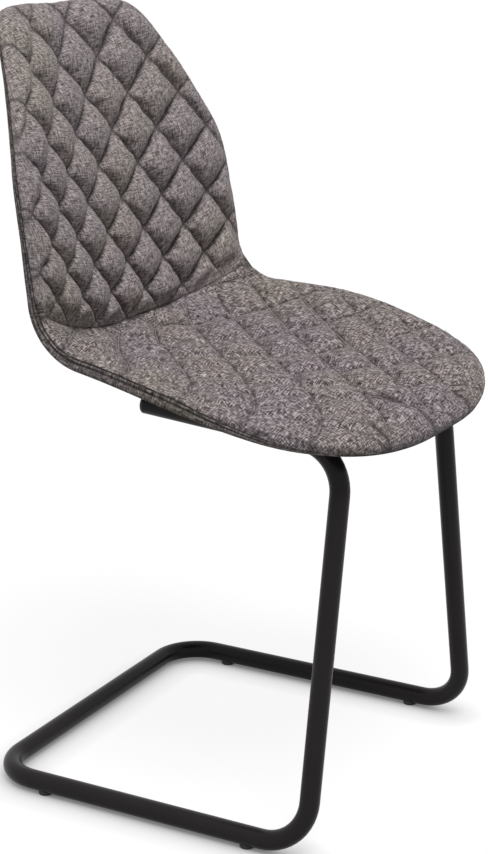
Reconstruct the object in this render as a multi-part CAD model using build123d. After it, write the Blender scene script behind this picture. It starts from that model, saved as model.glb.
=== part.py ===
from build123d import *
import math
import os

# A dining chair: a padded, quilted bucket shell on a sled base bent from one round tube.
# Millimetres. The sitter faces -Y, +Z is up, and the origin is on the floor under the middle of the chair.

# Sled base
TUBE_D = 22.0
TUBE_WALL = 1.5
BEND_R = 52.0
LOOP_HALF = 211.5
LOOP_REAR_Y = 202.5
LOOP_FRONT_Y = -197.5
RAIL_HALF = 126.0
RAIL_FRONT_Y = -195.0
RAIL_FRONT_Z = 432.5
RAIL_LEN = 239.0
RAIL_PITCH = 4.2

# Plugs in the rails' rear ends
PLUG_HEAD = 4.0
PLUG_DOME = 2.8
PLUG_SPIGOT = 14.0
PLUG_WALL = 2.0
PLUG_FIT = 0.1

# Floor glides under the runners
GLIDE_H = 2.5
GLIDE_D = 16.0
GLIDE_PEG_D = 7.0
GLIDE_PEG_LEN = 6.0
GLIDE_CHAMFER = 0.8
GLIDE_FIT = 0.1
GLIDE_END_GAP = 70.0

# Cross plates between the rails, and what holds the shell on them
PLATE_T = 4.0
PLATE_W = 40.0
FRONT_PLATE_V = 76.0
REAR_PLATE_V = 206.0
SCREW_HALF = 60.0
SCREW_D = 6.0
SCREW_HEAD_D = 11.0
SCREW_HEAD_H = 3.3
SCREW_HEAD_ROUND = 2.0
SCREW_SOCKET_D = 4.0
SCREW_SOCKET_DEPTH = 1.6
WASHER_D = 16.0
WASHER_T = 1.5
SCREW_PLAY = 0.3
PAD_D = 26.0
NUT_FLANGE_D = 19.0
NUT_FLANGE_T = 1.2
NUT_BARREL_D = 8.0
NUT_BARREL_LEN = 3.0
NUT_FIT = 0.05

# Layers of the shell, from the outside to the sitter's side
CLEAR = 0.3
QUILT_CLEAR = 0.6
COVER_T = 1.5
BOARD_T = 8.0
FOAM_T = 3.8
QUILT_T = 2.5
BAND_T = 3.0

# Quilting: half-diagonals of a diamond, its crown, and how far in from the rim it reaches full height
DIAMOND_X = 36.0
DIAMOND_V = 40.0
BACK_CROWN = 5.5
SEAT_CROWN = 3.5
CROWN_FADE = 30.0
CREASE_DROP = 8.4
BACK_QUILT_LEAN = 5.0
BACK_QUILT_X = 55.5
BACK_QUILT_V = -3.0
SEAT_QUILT_V = 40.0

# Shell centre line, drawn from the seat's front edge backwards and up, in the rails' plane
SEAT_RIDE = 16.5
SEAT_FRONT_V = 2.7
SEAT_LEN = 305.0
SEAT_BEND_R = 46.0
SEAT_BEND = 80.8
BACK_LEN = 359.5
BACK_CURVE = -19.3
NOSE_LEN = 61.5
NOSE_DROP = 20.0

# The same run at SIDE_X from the centre, where the bucket's sides stand higher
SIDE_X = 230.0
SIDE_RISE = 11.4
SIDE_FRONT_SHIFT = 1.7
SIDE_CLIMB = 8.2
SIDE_SHORT = 40.2
SIDE_BEND_R = 70.0
SIDE_BEND = 71.6
SIDE_BACK_SHORT = 41.2
SIDE_BACK_CURVE = -8.0
SIDE_NOSE_DROP = 15.0

# Outline of the shell: the back seen from the front, the seat seen from above
NECK_HALF = 217.0
SEAT_HALF = 246.0
SEAT_ROUND_LEN = 186.0
SEAT_ROUND = 0.70
SEAT_SWELL = 85.0
TAPER_RISE = 64.0
TAPER_R = 465.0
TOP_CORNER_R = 45.0
TOP_CROWN = 4.0
OVERRUN = 40.0

TUBE_R = TUBE_D / 2
TUBE_Z = GLIDE_H + TUBE_R
BORE_R = TUBE_R - TUBE_WALL
STACK = COVER_T + BOARD_T + FOAM_T + QUILT_T + 2 * CLEAR + QUILT_CLEAR
COVER_LOW = -STACK / 2
BOARD_LOW = COVER_LOW + COVER_T + CLEAR
FOAM_LOW = BOARD_LOW + BOARD_T + CLEAR
QUILT_LOW = FOAM_LOW + FOAM_T + QUILT_CLEAR
QUILT_TOP = QUILT_LOW + QUILT_T
RAIL_PLANE = Plane(
    origin=(0, RAIL_FRONT_Y, RAIL_FRONT_Z),
    x_dir=(1, 0, 0),
    z_dir=(0, -math.sin(math.radians(RAIL_PITCH)), math.cos(math.radians(RAIL_PITCH))),
)
BEND_LEN = SEAT_BEND_R * math.radians(SEAT_BEND)
SIDE_BEND_LEN = SIDE_BEND_R * math.radians(SIDE_BEND)
TOP, FOOT, SEAT_REAR, SEAT_FRONT, NOSE = range(5)
STANDING = (Align.CENTER, Align.CENTER, Align.MIN)
HANGING = (Align.CENTER, Align.CENTER, Align.MAX)


def run(start, heading, stretches, count):
    """Point reached after count stretches, each a (length, turn in degrees); the last one carries on."""
    v, w = start
    angle = math.radians(heading)
    for k, (length, turn) in enumerate(stretches):
        share = count - k if k == len(stretches) - 1 else min(count - k, 1.0)
        if share <= 0:
            break
        bend = math.radians(turn) * share
        chord = length * share * (math.sin(bend / 2) / (bend / 2) if bend else 1.0)
        v += chord * math.cos(angle + bend / 2)
        w += chord * math.sin(angle + bend / 2)
        angle += bend
    return Vector(0, v, w)


def centre_line(t):
    """Centre of the shell at t: 0 top, 1 foot of the back, 2 seat's rear, 3 seat's front, 4 nose."""
    start = (SEAT_FRONT_V, SEAT_RIDE)
    if t > SEAT_FRONT:
        return run(start, 180, [(NOSE_LEN, NOSE_DROP)], t - SEAT_FRONT)
    up = [(SEAT_LEN, 0), (BEND_LEN, SEAT_BEND), (BACK_LEN, BACK_CURVE)]
    return run(start, 0, up, SEAT_FRONT - t)


def side_line(t):
    """The shell's run at SIDE_X from the centre, at the same t."""
    start = (SEAT_FRONT_V + SIDE_FRONT_SHIFT, SEAT_RIDE + SIDE_RISE)
    if t > SEAT_FRONT:
        return run(start, 180 + SIDE_CLIMB, [(NOSE_LEN, SIDE_NOSE_DROP)], t - SEAT_FRONT)
    up = [
        (SEAT_LEN - SIDE_SHORT, 0),
        (SIDE_BEND_LEN, SIDE_BEND),
        (BACK_LEN - SIDE_BACK_SHORT, SIDE_BACK_CURVE),
    ]
    return run(start, SIDE_CLIMB, up, SEAT_FRONT - t)


def middle(x, t):
    """Point of the shell's middle surface: a parabola across, from the centre line up to the sides."""
    centre = centre_line(t)
    lift = (side_line(t) - centre) * (x / SIDE_X) ** 2
    return RAIL_PLANE.from_local_coords(centre + lift + Vector(x, 0, 0))


def skin(x, t, depth):
    """Point at a depth from the middle surface, towards the sitter."""
    step = 0.01
    along = middle(x, t + step) - middle(x, t - step)
    across = middle(x + 1, t) - middle(x - 1, t)
    return middle(x, t) + along.cross(across).normalized() * depth


def t_at(v):
    """The t at a distance v down the centre line from the top of the back."""
    for t, length in enumerate((BACK_LEN, BEND_LEN, SEAT_LEN)):
        if v <= length:
            return t + v / length
        v -= length
    return SEAT_FRONT + v / NOSE_LEN


TOP_Z = middle(0, TOP).Z
TAPER_Z = middle(0, FOOT).Z + TAPER_RISE
FRONT_Y = middle(0, NOSE).Y
WIDE_Y = FRONT_Y + SEAT_ROUND_LEN
NECK_Y = middle(SIDE_X, FOOT).Y
CREASE_T = t_at(BACK_LEN + CREASE_DROP)


def seat_curves(inset):
    """The seat's outline from above, right half: neck to widest, then widest to the front."""
    neck, wide, front = NECK_HALF - inset, SEAT_HALF - inset, FRONT_Y + inset
    swell = [(neck, NECK_Y), (neck, NECK_Y - SEAT_SWELL), (wide, WIDE_Y + SEAT_SWELL), (wide, WIDE_Y)]
    pull = WIDE_Y + (front - WIDE_Y) * SEAT_ROUND
    nose = [(wide, WIDE_Y), (wide, pull), (wide * SEAT_ROUND, front), (0, front)]
    return swell, nose


def seat_half(y):
    """Half-width of the seat's outline at y."""
    if y >= NECK_Y:
        return NECK_HALF
    if y <= FRONT_Y:
        return 0.0
    swell, nose = seat_curves(0)
    curve = swell if y > WIDE_Y else nose
    low, high = 0.0, 1.0
    for _ in range(30):
        u = (low + high) / 2
        share = ((1 - u) ** 3, 3 * u * (1 - u) ** 2, 3 * u * u * (1 - u), u**3)
        low, high = (u, high) if sum(s * p[1] for s, p in zip(share, curve)) > y else (low, u)
    return sum(s * p[0] for s, p in zip(share, curve))


def back_half(z):
    """Half-width of the back's outline at z, before its top corners are rounded."""
    rise = max(z - TAPER_Z, 0)
    return NECK_HALF - TAPER_R + math.sqrt(TAPER_R**2 - rise**2)


def rim_distance(x, t):
    """How far a point of the shell lies inside the outline; negative outside it."""
    point = middle(x, t)
    if t < CREASE_T:
        return min(back_half(min(point.Z, TOP_Z)) - abs(x), TOP_Z - point.Z)
    return min(seat_half(point.Y) - abs(x), point.Y - FRONT_Y)


def seat_prism(inset):
    """Everything inside the seat's outline, straight up and down."""
    rear = NECK_Y + 2 * OVERRUN
    swell, nose = seat_curves(inset)
    half = [Bezier(*swell), Bezier(*nose)]
    neck = swell[0]
    left = [edge.mirror(Plane.YZ) for edge in half]
    sides = [Line((neck[0], rear), neck), Line((-neck[0], rear), (-neck[0], neck[1]))]
    face = make_face(half + left + sides + [Line((-neck[0], rear), (neck[0], rear))])
    return extrude(Pos(0, 0, RAIL_FRONT_Z - 2 * OVERRUN) * face, amount=TOP_Z)


def back_prism(inset):
    """Everything inside the back's outline, straight through from front to rear."""
    taper_r, corner_r, top = TAPER_R - inset, TOP_CORNER_R - inset, TOP_Z - inset
    hub_x, foot_z = NECK_HALF - TAPER_R, RAIL_FRONT_Z - OVERRUN
    shoulder_z = top - TOP_CROWN - corner_r
    corner_x = hub_x + math.sqrt((taper_r - corner_r) ** 2 - (shoulder_z - TAPER_Z) ** 2)
    lean = math.atan2(shoulder_z - TAPER_Z, corner_x - hub_x)
    neck = NECK_HALF - inset
    meet = (hub_x + taper_r * math.cos(lean), TAPER_Z + taper_r * math.sin(lean))
    half_lean = lean / 2
    mid_taper = (hub_x + taper_r * math.cos(half_lean), TAPER_Z + taper_r * math.sin(half_lean))
    turn = (lean + math.pi / 2) / 2
    mid_corner = (corner_x + corner_r * math.cos(turn), shoulder_z + corner_r * math.sin(turn))
    shoulder = (corner_x, shoulder_z + corner_r)
    half = [
        Line((neck, foot_z), (neck, TAPER_Z)),
        ThreePointArc((neck, TAPER_Z), mid_taper, meet),
        ThreePointArc(meet, mid_corner, shoulder),
    ]
    left = [edge.mirror(Plane.YZ) for edge in half]
    top_edge = ThreePointArc(shoulder, (0, top), (-shoulder[0], shoulder[1]))
    face = make_face(half + left + [top_edge, Line((-neck, foot_z), (neck, foot_z))])
    depth = LOOP_REAR_Y + 4 * OVERRUN
    return extrude(Plane.XZ * face, amount=depth, both=True)


def crease_plane():
    """The cut between back and seat: across the chair, from the crease out to the sides."""
    middle_point = middle(0, CREASE_T)
    rise = middle(SIDE_X, CREASE_T) - middle(-SIDE_X, CREASE_T)
    slope = middle(SIDE_X, CREASE_T) - Vector(SIDE_X, 0, 0) - middle_point
    return Plane(origin=middle_point, x_dir=rise, z_dir=slope.cross(rise))


def trims(inset):
    """Trimming blocks for the back and for the seat, which meet at the crease."""
    plane = crease_plane()
    back = split(back_prism(inset), bisect_by=plane, keep=Keep.TOP)
    seat = split(seat_prism(inset), bisect_by=plane, keep=Keep.BOTTOM)
    return back, seat


def through(points):
    """Control points of the parabola through three points."""
    first, mid, last = points
    return [first, mid * 2 - (first + last) * 0.5, last]


def patch(rows):
    """Smooth face through three rows of points."""
    columns = zip(*[through(row) for row in rows])
    return Face.make_bezier_surface([through(list(column)) for column in columns])


def patchwork(cells, low, high):
    """Closed solid of smooth faces between two depths.

    A cell is three rows of three (x, t, swell) places, shared along its sides with its neighbours. Swell
    lifts the upper face above high.
    """
    sides = (
        ((0, 0), (0, 1), (0, 2)),
        ((0, 2), (1, 2), (2, 2)),
        ((2, 2), (2, 1), (2, 0)),
        ((2, 0), (1, 0), (0, 0)),
    )
    faces = []
    rims = {}
    for cell in cells:
        lower = [[skin(x, t, low) for x, t, swell in row] for row in cell]
        upper = [[skin(x, t, high + swell) for x, t, swell in row] for row in cell]
        faces += [patch(lower), patch(upper)]
        for side in sides:
            row, column = side[1]
            key = tuple(round(c, 6) for c in cell[row][column])
            if key in rims:
                del rims[key]
            else:
                rims[key] = [through([layer[i][j] for i, j in side]) for layer in (lower, upper)]
    faces += [Face.make_bezier_surface(rim) for rim in rims.values()]
    return Solid(Shell(faces))


def sheet(low, high):
    """Closed solid between two depths of the shell, larger than the outline."""
    reach = SEAT_HALF + OVERRUN / 2
    stretches = [(-OVERRUN / BACK_LEN, FOOT, 4), (FOOT, SEAT_REAR, 4), (SEAT_REAR, SEAT_FRONT, 2)]
    stretches.append((SEAT_FRONT, NOSE + OVERRUN / NOSE_LEN, 2))
    cells = []
    for start, end, count in stretches:
        for k in range(count):
            ts = [start + (end - start) * (k + half) / count for half in (0, 0.5, 1)]
            for xs in ((-reach, -reach / 2, 0), (0, reach / 2, reach)):
                cells.append([[(x, t, 0) for x in xs] for t in ts])
    return patchwork(cells, low, high)


def diamonds(origin_x, origin_v, lean, height, span_t):
    """Quilting cells over a span of the shell, on a lattice about one of its crossings.

    Each diamond swells from its seams to a crown, drawn in where it nears the rim, and is cut into
    quarters so that it follows the shell's bends.
    """
    turn = math.radians(lean)
    first, last = span_t
    span = int((BACK_LEN + BEND_LEN + SEAT_LEN + NOSE_LEN) / DIAMOND_V) + 2
    margin = max(DIAMOND_X, DIAMOND_V) / 2

    def place(i, j):
        u, v = DIAMOND_X * (j - i), DIAMOND_V * (i + j)
        x = origin_x + u * math.cos(turn) - v * math.sin(turn)
        return x, t_at(origin_v + u * math.sin(turn) + v * math.cos(turn))

    cells = []
    for i in range(-span, span):
        for j in range(-span, span):
            spots = [place(i + a / 2, j + b / 2) for a in range(3) for b in range(3)]
            if not any(first < t < last and rim_distance(x, t) > -margin for x, t in spots):
                continue
            crown = height * min(max(rim_distance(*place(i + 0.5, j + 0.5)) / CROWN_FADE, 0), 1)

            def padded(a, b):
                return *place(i + a, j + b), crown * 16 * a * (1 - a) * b * (1 - b)

            for a in (0, 0.5):
                for b in (0, 0.5):
                    cells.append([[padded(a + k / 4, b + m / 4) for m in range(3)] for k in range(3)])
    return cells


def shell_parts():
    """The padded shell: board, foam, quilted panels, outer cover and the band round its rim."""
    outer_back, outer_seat = trims(0)
    inner_back, inner_seat = trims(BAND_T + CLEAR)
    board = sheet(BOARD_LOW, BOARD_LOW + BOARD_T)
    foam = sheet(FOAM_LOW, FOAM_LOW + FOAM_T)
    cover = sheet(COVER_LOW, COVER_LOW + COVER_T)
    rim = sheet(COVER_LOW, QUILT_TOP)
    wide_back, wide_seat = trims(BAND_T)
    reach = 2 * DIAMOND_V / BACK_LEN
    back_span = (TOP - reach, CREASE_T + reach)
    back_cells = diamonds(BACK_QUILT_X, BACK_QUILT_V, BACK_QUILT_LEAN, BACK_CROWN, back_span)
    seat_start = BACK_LEN + BEND_LEN + SEAT_QUILT_V
    seat_cells = diamonds(0, seat_start, 0, SEAT_CROWN, (CREASE_T - reach, NOSE + reach))
    return {
        "shell_board": (board & inner_back) + (board & inner_seat),
        "back_foam": foam & inner_back,
        "seat_foam": foam & inner_seat,
        "outer_cover": (cover & inner_back) + (cover & inner_seat),
        "quilted_back": patchwork(back_cells, QUILT_LOW, QUILT_TOP) & inner_back,
        "quilted_seat": patchwork(seat_cells, QUILT_LOW, QUILT_TOP) & inner_seat,
        "edge_band": (rim & (outer_back - wide_back)) + (rim & (outer_seat - wide_seat)),
    }


def tube_path():
    """Centreline of the sled base: rail, leg, runner, rear bar, and back up the other side."""
    rail_end = RAIL_PLANE.from_local_coords((-RAIL_HALF, RAIL_LEN, 0))
    near = [
        tuple(rail_end),
        (-RAIL_HALF, RAIL_FRONT_Y, RAIL_FRONT_Z),
        (-LOOP_HALF, LOOP_FRONT_Y, TUBE_Z),
        (-LOOP_HALF, LOOP_REAR_Y, TUBE_Z),
    ]
    far = [(-x, y, z) for x, y, z in reversed(near)]
    return FilletPolyline(*near, *far, radius=BEND_R)


def glide_places():
    """Where the glides stand: near both ends of each runner's straight stretch."""
    ends = (LOOP_FRONT_Y + GLIDE_END_GAP, LOOP_REAR_Y - GLIDE_END_GAP)
    return [(x, y) for x in (-LOOP_HALF, LOOP_HALF) for y in ends]


def frame_tube():
    """The bent tube, hollow, with a hole under each runner for every glide's peg."""
    path = tube_path()
    end = Plane(origin=path @ 0, z_dir=path % 0)
    tube = sweep(end * Circle(TUBE_R), path=path) - sweep(end * Circle(BORE_R), path=path)
    holes = [Pos(x, y, TUBE_Z - TUBE_R / 2) * Cylinder(GLIDE_PEG_D / 2, TUBE_R) for x, y in glide_places()]
    return tube - holes


def rail_plug(side):
    """Push-in plug: a domed head as wide as the tube, and a hollow spigot in its bore."""
    head = Cylinder(TUBE_R, PLUG_HEAD, align=STANDING)
    head = fillet(head.edges().sort_by(Axis.Z)[-1:], PLUG_DOME)
    spigot_r = BORE_R - PLUG_FIT
    spigot = Cylinder(spigot_r, PLUG_SPIGOT, align=HANGING)
    hollow = Cylinder(spigot_r - PLUG_WALL, PLUG_SPIGOT, align=HANGING)
    seat = RAIL_PLANE * Plane(origin=(side * RAIL_HALF, RAIL_LEN, 0), z_dir=(0, 1, 0))
    return seat * (head + (spigot - hollow))


def glide(x, y):
    """Low round foot with a hollow on top that fits the tube, and a peg in the tube's hole."""
    foot = Pos(x, y, 0) * Cylinder(GLIDE_D / 2, TUBE_Z - TUBE_R / 2, align=STANDING)
    foot = chamfer(foot.edges().sort_by(Axis.Z)[:1], GLIDE_CHAMFER)
    foot -= Pos(x, y, TUBE_Z) * Rot(90, 0, 0) * Cylinder(TUBE_R + GLIDE_FIT, 2 * GLIDE_D)
    peg_r = GLIDE_PEG_D / 2 - GLIDE_FIT
    peg = Pos(x, y, GLIDE_H / 2) * Cylinder(peg_r, GLIDE_PEG_LEN, align=STANDING)
    return foot + peg


def screw_places(v):
    """Screw axes of one cross plate, as places in the rails' plane."""
    return [RAIL_PLANE * Pos(x, v, 0) for x in (-SCREW_HALF, SCREW_HALF)]


def shell_height(x, v):
    """Height of the shell's middle surface over the rails' plane, on the seat."""
    low, high = SEAT_REAR, NOSE
    for _ in range(40):
        t = (low + high) / 2
        point = RAIL_PLANE.to_local_coords(middle(x, t))
        low, high = (t, high) if point.Y > v else (low, t)
    return point.Z


def cross_plate(v):
    """Flat bar between the rails, coped to the tubes, with a hole for each screw."""
    bar = RAIL_PLANE * Pos(0, v, 0) * Box(2 * RAIL_HALF, PLATE_W, PLATE_T)
    for side in (-RAIL_HALF, RAIL_HALF):
        bar -= RAIL_PLANE * Pos(side, v, 0) * Rot(90, 0, 0) * Cylinder(TUBE_R, 2 * PLATE_W)
    holes = [place * Cylinder(SCREW_D / 2 + SCREW_PLAY, 3 * PLATE_T) for place in screw_places(v)]
    return bar - holes


def on_axis(place, radius, low, high):
    """Cylinder about a screw's axis between two heights over the rails' plane."""
    return place * Pos(0, 0, (low + high) / 2) * Cylinder(radius, high - low)


def fixings():
    """Screws with washers, spacer pads and tee nuts, and the holes that the shell's layers need for them."""
    screws, washers, pads, nuts, holes, pockets = [], [], [], [], [], []
    underside = sheet(COVER_LOW - CLEAR, QUILT_TOP)
    for v in (FRONT_PLATE_V, REAR_PLATE_V):
        for place in screw_places(v):
            middle_w = shell_height(SCREW_HALF, v)
            top = middle_w + BOARD_LOW + BOARD_T / 2
            seat = -PLATE_T / 2 - WASHER_T
            play_r = SCREW_D / 2 + SCREW_PLAY
            end = seat - SCREW_HEAD_H
            head = on_axis(place, SCREW_HEAD_D / 2, end, seat)
            head = fillet(head.edges().filter_by(GeomType.CIRCLE).sort_by(Axis.Z)[:1], SCREW_HEAD_ROUND)
            socket = on_axis(place, SCREW_SOCKET_D / 2, end, end + SCREW_SOCKET_DEPTH)
            screws.append(head - socket + on_axis(place, SCREW_D / 2, seat, top))
            ring = on_axis(place, WASHER_D / 2, seat, -PLATE_T / 2)
            washers.append(ring - on_axis(place, play_r, seat, -PLATE_T / 2))
            pad = on_axis(place, PAD_D / 2, PLATE_T / 2, middle_w)
            pads.append(pad - on_axis(place, play_r, 0, middle_w) - underside)
            flange = on_axis(place, NUT_FLANGE_D / 2, top, top + NUT_FLANGE_T)
            barrel = on_axis(place, NUT_BARREL_D / 2, top - NUT_BARREL_LEN, top)
            bore = on_axis(place, SCREW_D / 2 + NUT_FIT, top - NUT_BARREL_LEN, top + NUT_FLANGE_T)
            nuts.append(flange + barrel - bore)
            holes.append(on_axis(place, NUT_BARREL_D / 2 + CLEAR, 0, top))
            pockets.append(on_axis(place, NUT_FLANGE_D / 2 + CLEAR, top, top + BOARD_T))
    groups = {"seat_screws": screws, "washers": washers, "spacer_pads": pads, "tee_nuts": nuts}
    return groups, holes, pockets


def build():
    """All pieces by name."""
    parts = shell_parts()
    groups, holes, pockets = fixings()
    parts["shell_board"] -= holes + pockets
    parts["outer_cover"] -= holes
    parts["seat_foam"] -= pockets
    parts["frame_tube"] = frame_tube()
    for name, side in (("near_rail_plug", -1), ("far_rail_plug", 1)):
        parts[name] = rail_plug(side)
    parts["front_cross_plate"] = cross_plate(FRONT_PLATE_V)
    parts["rear_cross_plate"] = cross_plate(REAR_PLATE_V)
    groups["floor_glides"] = [glide(x, y) for x, y in glide_places()]
    for name, solids in groups.items():
        parts[name] = Compound([solid for item in solids for solid in item.solids()])
    return parts


os.makedirs("parts", exist_ok=True)
for name, shape in build().items():
    export_step(shape, f"parts/{name}.step")
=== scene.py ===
import logging
import math
from dataclasses import dataclass
from enum import Enum

import bpy
import numpy as np
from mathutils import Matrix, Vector


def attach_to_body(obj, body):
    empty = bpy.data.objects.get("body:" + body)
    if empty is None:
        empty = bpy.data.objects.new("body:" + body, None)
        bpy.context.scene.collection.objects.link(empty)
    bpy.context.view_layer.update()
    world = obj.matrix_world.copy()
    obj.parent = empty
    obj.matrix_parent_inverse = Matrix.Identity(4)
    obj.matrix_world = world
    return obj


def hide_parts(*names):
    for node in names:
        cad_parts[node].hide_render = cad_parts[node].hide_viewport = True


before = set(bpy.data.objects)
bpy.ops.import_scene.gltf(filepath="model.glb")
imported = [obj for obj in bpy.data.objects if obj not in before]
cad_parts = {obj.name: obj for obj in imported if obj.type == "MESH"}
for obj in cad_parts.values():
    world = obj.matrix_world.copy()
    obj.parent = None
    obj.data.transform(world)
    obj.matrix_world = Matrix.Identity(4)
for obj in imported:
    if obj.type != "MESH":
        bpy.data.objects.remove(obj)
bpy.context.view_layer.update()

# A dining chair: a bucket shell padded and quilted in diamonds, on a sled base of bent black tube.
# Metres. The sitter faces -Y and +Z is up, as in the frame. The shell's sizes are the CAD source's, and the
# fall of the crease and the padding's fuller edges are the scene's own.

LOG = logging.getLogger("dining_chair")
BODY = "root"
MIRROR = np.array([-1.0, 1.0])
SNAP_SHARE = 0.3
SMOOTH_ANGLE = math.radians(35.0)
TINY = 1e-9

Colour = tuple[float, float, float, float]
Faces = list[tuple[int, ...]]
Sockets = dict[str, bpy.types.NodeSocket]


class Slot(Enum):
    """Names of the record's material slots for the soft pieces."""

    QUILT = "quilted_fabric"
    BAND = "band_fabric"
    OUTER = "outer_fabric"


class Panel(Enum):
    """The shell's two padded panels."""

    BACK = "back"
    SEAT = "seat"


def smooth_step(share: np.ndarray) -> np.ndarray:
    """Rises smoothly from 0 to 1 as the share does."""
    share = np.clip(share, 0, 1)
    return share * share * (3 - 2 * share)


@dataclass(frozen=True)
class ShellForm:
    """The bucket shell's middle surface and outline.

    A place on the shell is (x, t) or (x, v). x goes across the chair. t counts the stretches of its run: 0
    at the top, 1 at the foot of the back, 2 at the seat's rear, 3 at its front and 4 at the nose. v is the
    distance down the centre line from the top. Depth is measured off the middle surface, to the sitter.
    """

    rail_y: float = -0.195
    rail_z: float = 0.4325
    rail_pitch: float = math.radians(4.2)
    seat_ride: float = 0.0165
    seat_front: float = 0.0027
    seat_len: float = 0.305
    bend_r: float = 0.046
    bend: float = math.radians(80.8)
    back_len: float = 0.3595
    back_curve: float = math.radians(-19.3)
    nose_len: float = 0.0615
    nose_drop: float = math.radians(20.0)
    side_x: float = 0.230
    side_rise: float = 0.0114
    side_shift: float = 0.0017
    side_climb: float = math.radians(8.2)
    side_short: float = 0.0402
    side_bend_r: float = 0.070
    side_bend: float = math.radians(71.6)
    side_back_short: float = 0.0412
    side_back_curve: float = math.radians(-8.0)
    side_nose_drop: float = math.radians(15.0)
    crease_drop: float = 0.0095
    crease_fall: float = 0.022
    crease_reach: float = 0.24
    neck_half: float = 0.217
    seat_half: float = 0.246
    round_len: float = 0.186
    round_pull: float = 0.70
    swell_pull: float = 0.085
    taper_rise: float = 0.064
    taper_r: float = 0.465
    corner_r: float = 0.045
    top_crown: float = 0.004
    near_lift: float = 0.008
    far_lift: float = 0.002
    lift_reach: float = 0.10
    bulge: float = 0.006
    bulge_v: float = 0.215
    bulge_reach: float = 0.055
    nose_full: float = 0.006
    nose_full_x: float = 0.004
    nose_full_v: float = 0.62
    t_above: float = -0.3
    t_beyond: float = 4.6
    probe_t: float = 0.01
    probe_x: float = 0.001
    halvings: int = 40
    crease_clear: float = 0.002
    crease_points: int = 60
    neck_points: int = 14
    taper_points: int = 30
    corner_points: int = 14
    top_points: int = 18
    curve_points: int = 40

    @property
    def lengths(self) -> tuple[float, float, float, float]:
        """Lengths of the run's four stretches down the centre line."""
        return self.back_len, self.bend_r * self.bend, self.seat_len, self.nose_len

    def crease(self, x: np.ndarray) -> np.ndarray:
        """Distance of the crease down the run from the top; it falls towards its far end."""
        return self.back_len + self.crease_drop + self.crease_fall * smooth_step(x / self.crease_reach)

    def down(self, t: np.ndarray) -> np.ndarray:
        """Distance down the centre line from the top, at t."""
        knots = np.concatenate([[0.0], np.cumsum(self.lengths)])
        inside = np.interp(t, range(5), knots)
        over = np.maximum(t - 4, 0) * self.nose_len + np.minimum(t, 0) * self.back_len
        return inside + over

    def t_at(self, v: np.ndarray) -> np.ndarray:
        """The t at a distance down the centre line from the top."""
        knots = np.concatenate([[0.0], np.cumsum(self.lengths)])
        over = np.maximum(v - knots[-1], 0) / self.nose_len + np.minimum(v, 0) / self.back_len
        return np.interp(v, knots, range(5)) + over

    @staticmethod
    def _run(
        start: tuple[float, float],
        heading: float,
        stretches: list[tuple[float, float]],
        count: np.ndarray,
    ) -> np.ndarray:
        """Points reached after some stretches of constant bend, in the rails' plane.

        Args:
            start: Where the run begins, along the rails and above them.
            heading: Its first direction, in radians.
            stretches: Each one's length and turn; the last one carries on.
            count: How many stretches to go, with fractions.

        Returns:
            Places along the rails and above them.
        """
        v = np.full(count.shape, start[0])
        w = np.full(count.shape, start[1])
        angle = np.full(count.shape, heading)
        for k, (length, turn) in enumerate(stretches):
            last = k == len(stretches) - 1
            share = np.clip(count - k, 0.0, None if last else 1.0)
            bend = turn * share
            chord = length * share * np.sinc(bend / (2 * math.pi))
            v = v + chord * np.cos(angle + bend / 2)
            w = w + chord * np.sin(angle + bend / 2)
            angle = angle + bend
        return np.stack([v, w], -1)

    def middle(self, x: np.ndarray, t: np.ndarray) -> np.ndarray:
        """Points of the middle surface: a parabola across, from the centre line up to the sides."""
        x, t = np.broadcast_arrays(np.asarray(x, float), np.asarray(t, float))
        ahead, up = np.maximum(t - 3, 0), np.maximum(3 - t, 0)
        nose = (t > 3)[..., None]
        start = (self.seat_front, self.seat_ride)
        rise = [
            (self.seat_len, 0.0),
            (self.bend_r * self.bend, self.bend),
            (self.back_len, self.back_curve),
        ]
        centre = np.where(
            nose,
            self._run(start, math.pi, [(self.nose_len, self.nose_drop)], ahead),
            self._run(start, 0.0, rise, up),
        )
        start = (self.seat_front + self.side_shift, self.seat_ride + self.side_rise)
        rise = [
            (self.seat_len - self.side_short, 0.0),
            (self.side_bend_r * self.side_bend, self.side_bend),
            (self.back_len - self.side_back_short, self.side_back_curve),
        ]
        climb = self.side_climb
        side = np.where(
            nose,
            self._run(start, math.pi + climb, [(self.nose_len, self.side_nose_drop)], ahead),
            self._run(start, climb, rise, up),
        )
        v, w = np.moveaxis(centre + (side - centre) * ((x / self.side_x) ** 2)[..., None], -1, 0)
        c, s = math.cos(self.rail_pitch), math.sin(self.rail_pitch)
        return np.stack([x, self.rail_y + v * c - w * s, self.rail_z + v * s + w * c], -1)

    def normal(self, x: np.ndarray, t: np.ndarray) -> np.ndarray:
        """Unit normals of the middle surface, towards the sitter."""
        along = self.middle(x, t + self.probe_t) - self.middle(x, t - self.probe_t)
        across = self.middle(x + self.probe_x, t) - self.middle(x - self.probe_x, t)
        normal = np.cross(along, across)
        return normal / np.linalg.norm(normal, axis=-1, keepdims=True)

    def skin(self, x: np.ndarray, v: np.ndarray, depth: np.ndarray) -> np.ndarray:
        """Points at a depth off the shell, where v is the distance down its run."""
        t = self.t_at(v)
        return self.middle(x, t) + self.normal(x, t) * np.asarray(depth)[..., None]

    def _solve(self, x: np.ndarray, target: np.ndarray, axis: int, span: tuple[float, float]) -> np.ndarray:
        """The t within a span at which the surface falls to a target along one axis."""
        low, high = np.full(x.shape, span[0]), np.full(x.shape, span[1])
        for _ in range(self.halvings):
            mid = (low + high) / 2
            above = self.middle(x, mid)[..., axis] > target
            low, high = np.where(above, mid, low), np.where(above, high, mid)
        return (low + high) / 2

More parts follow.
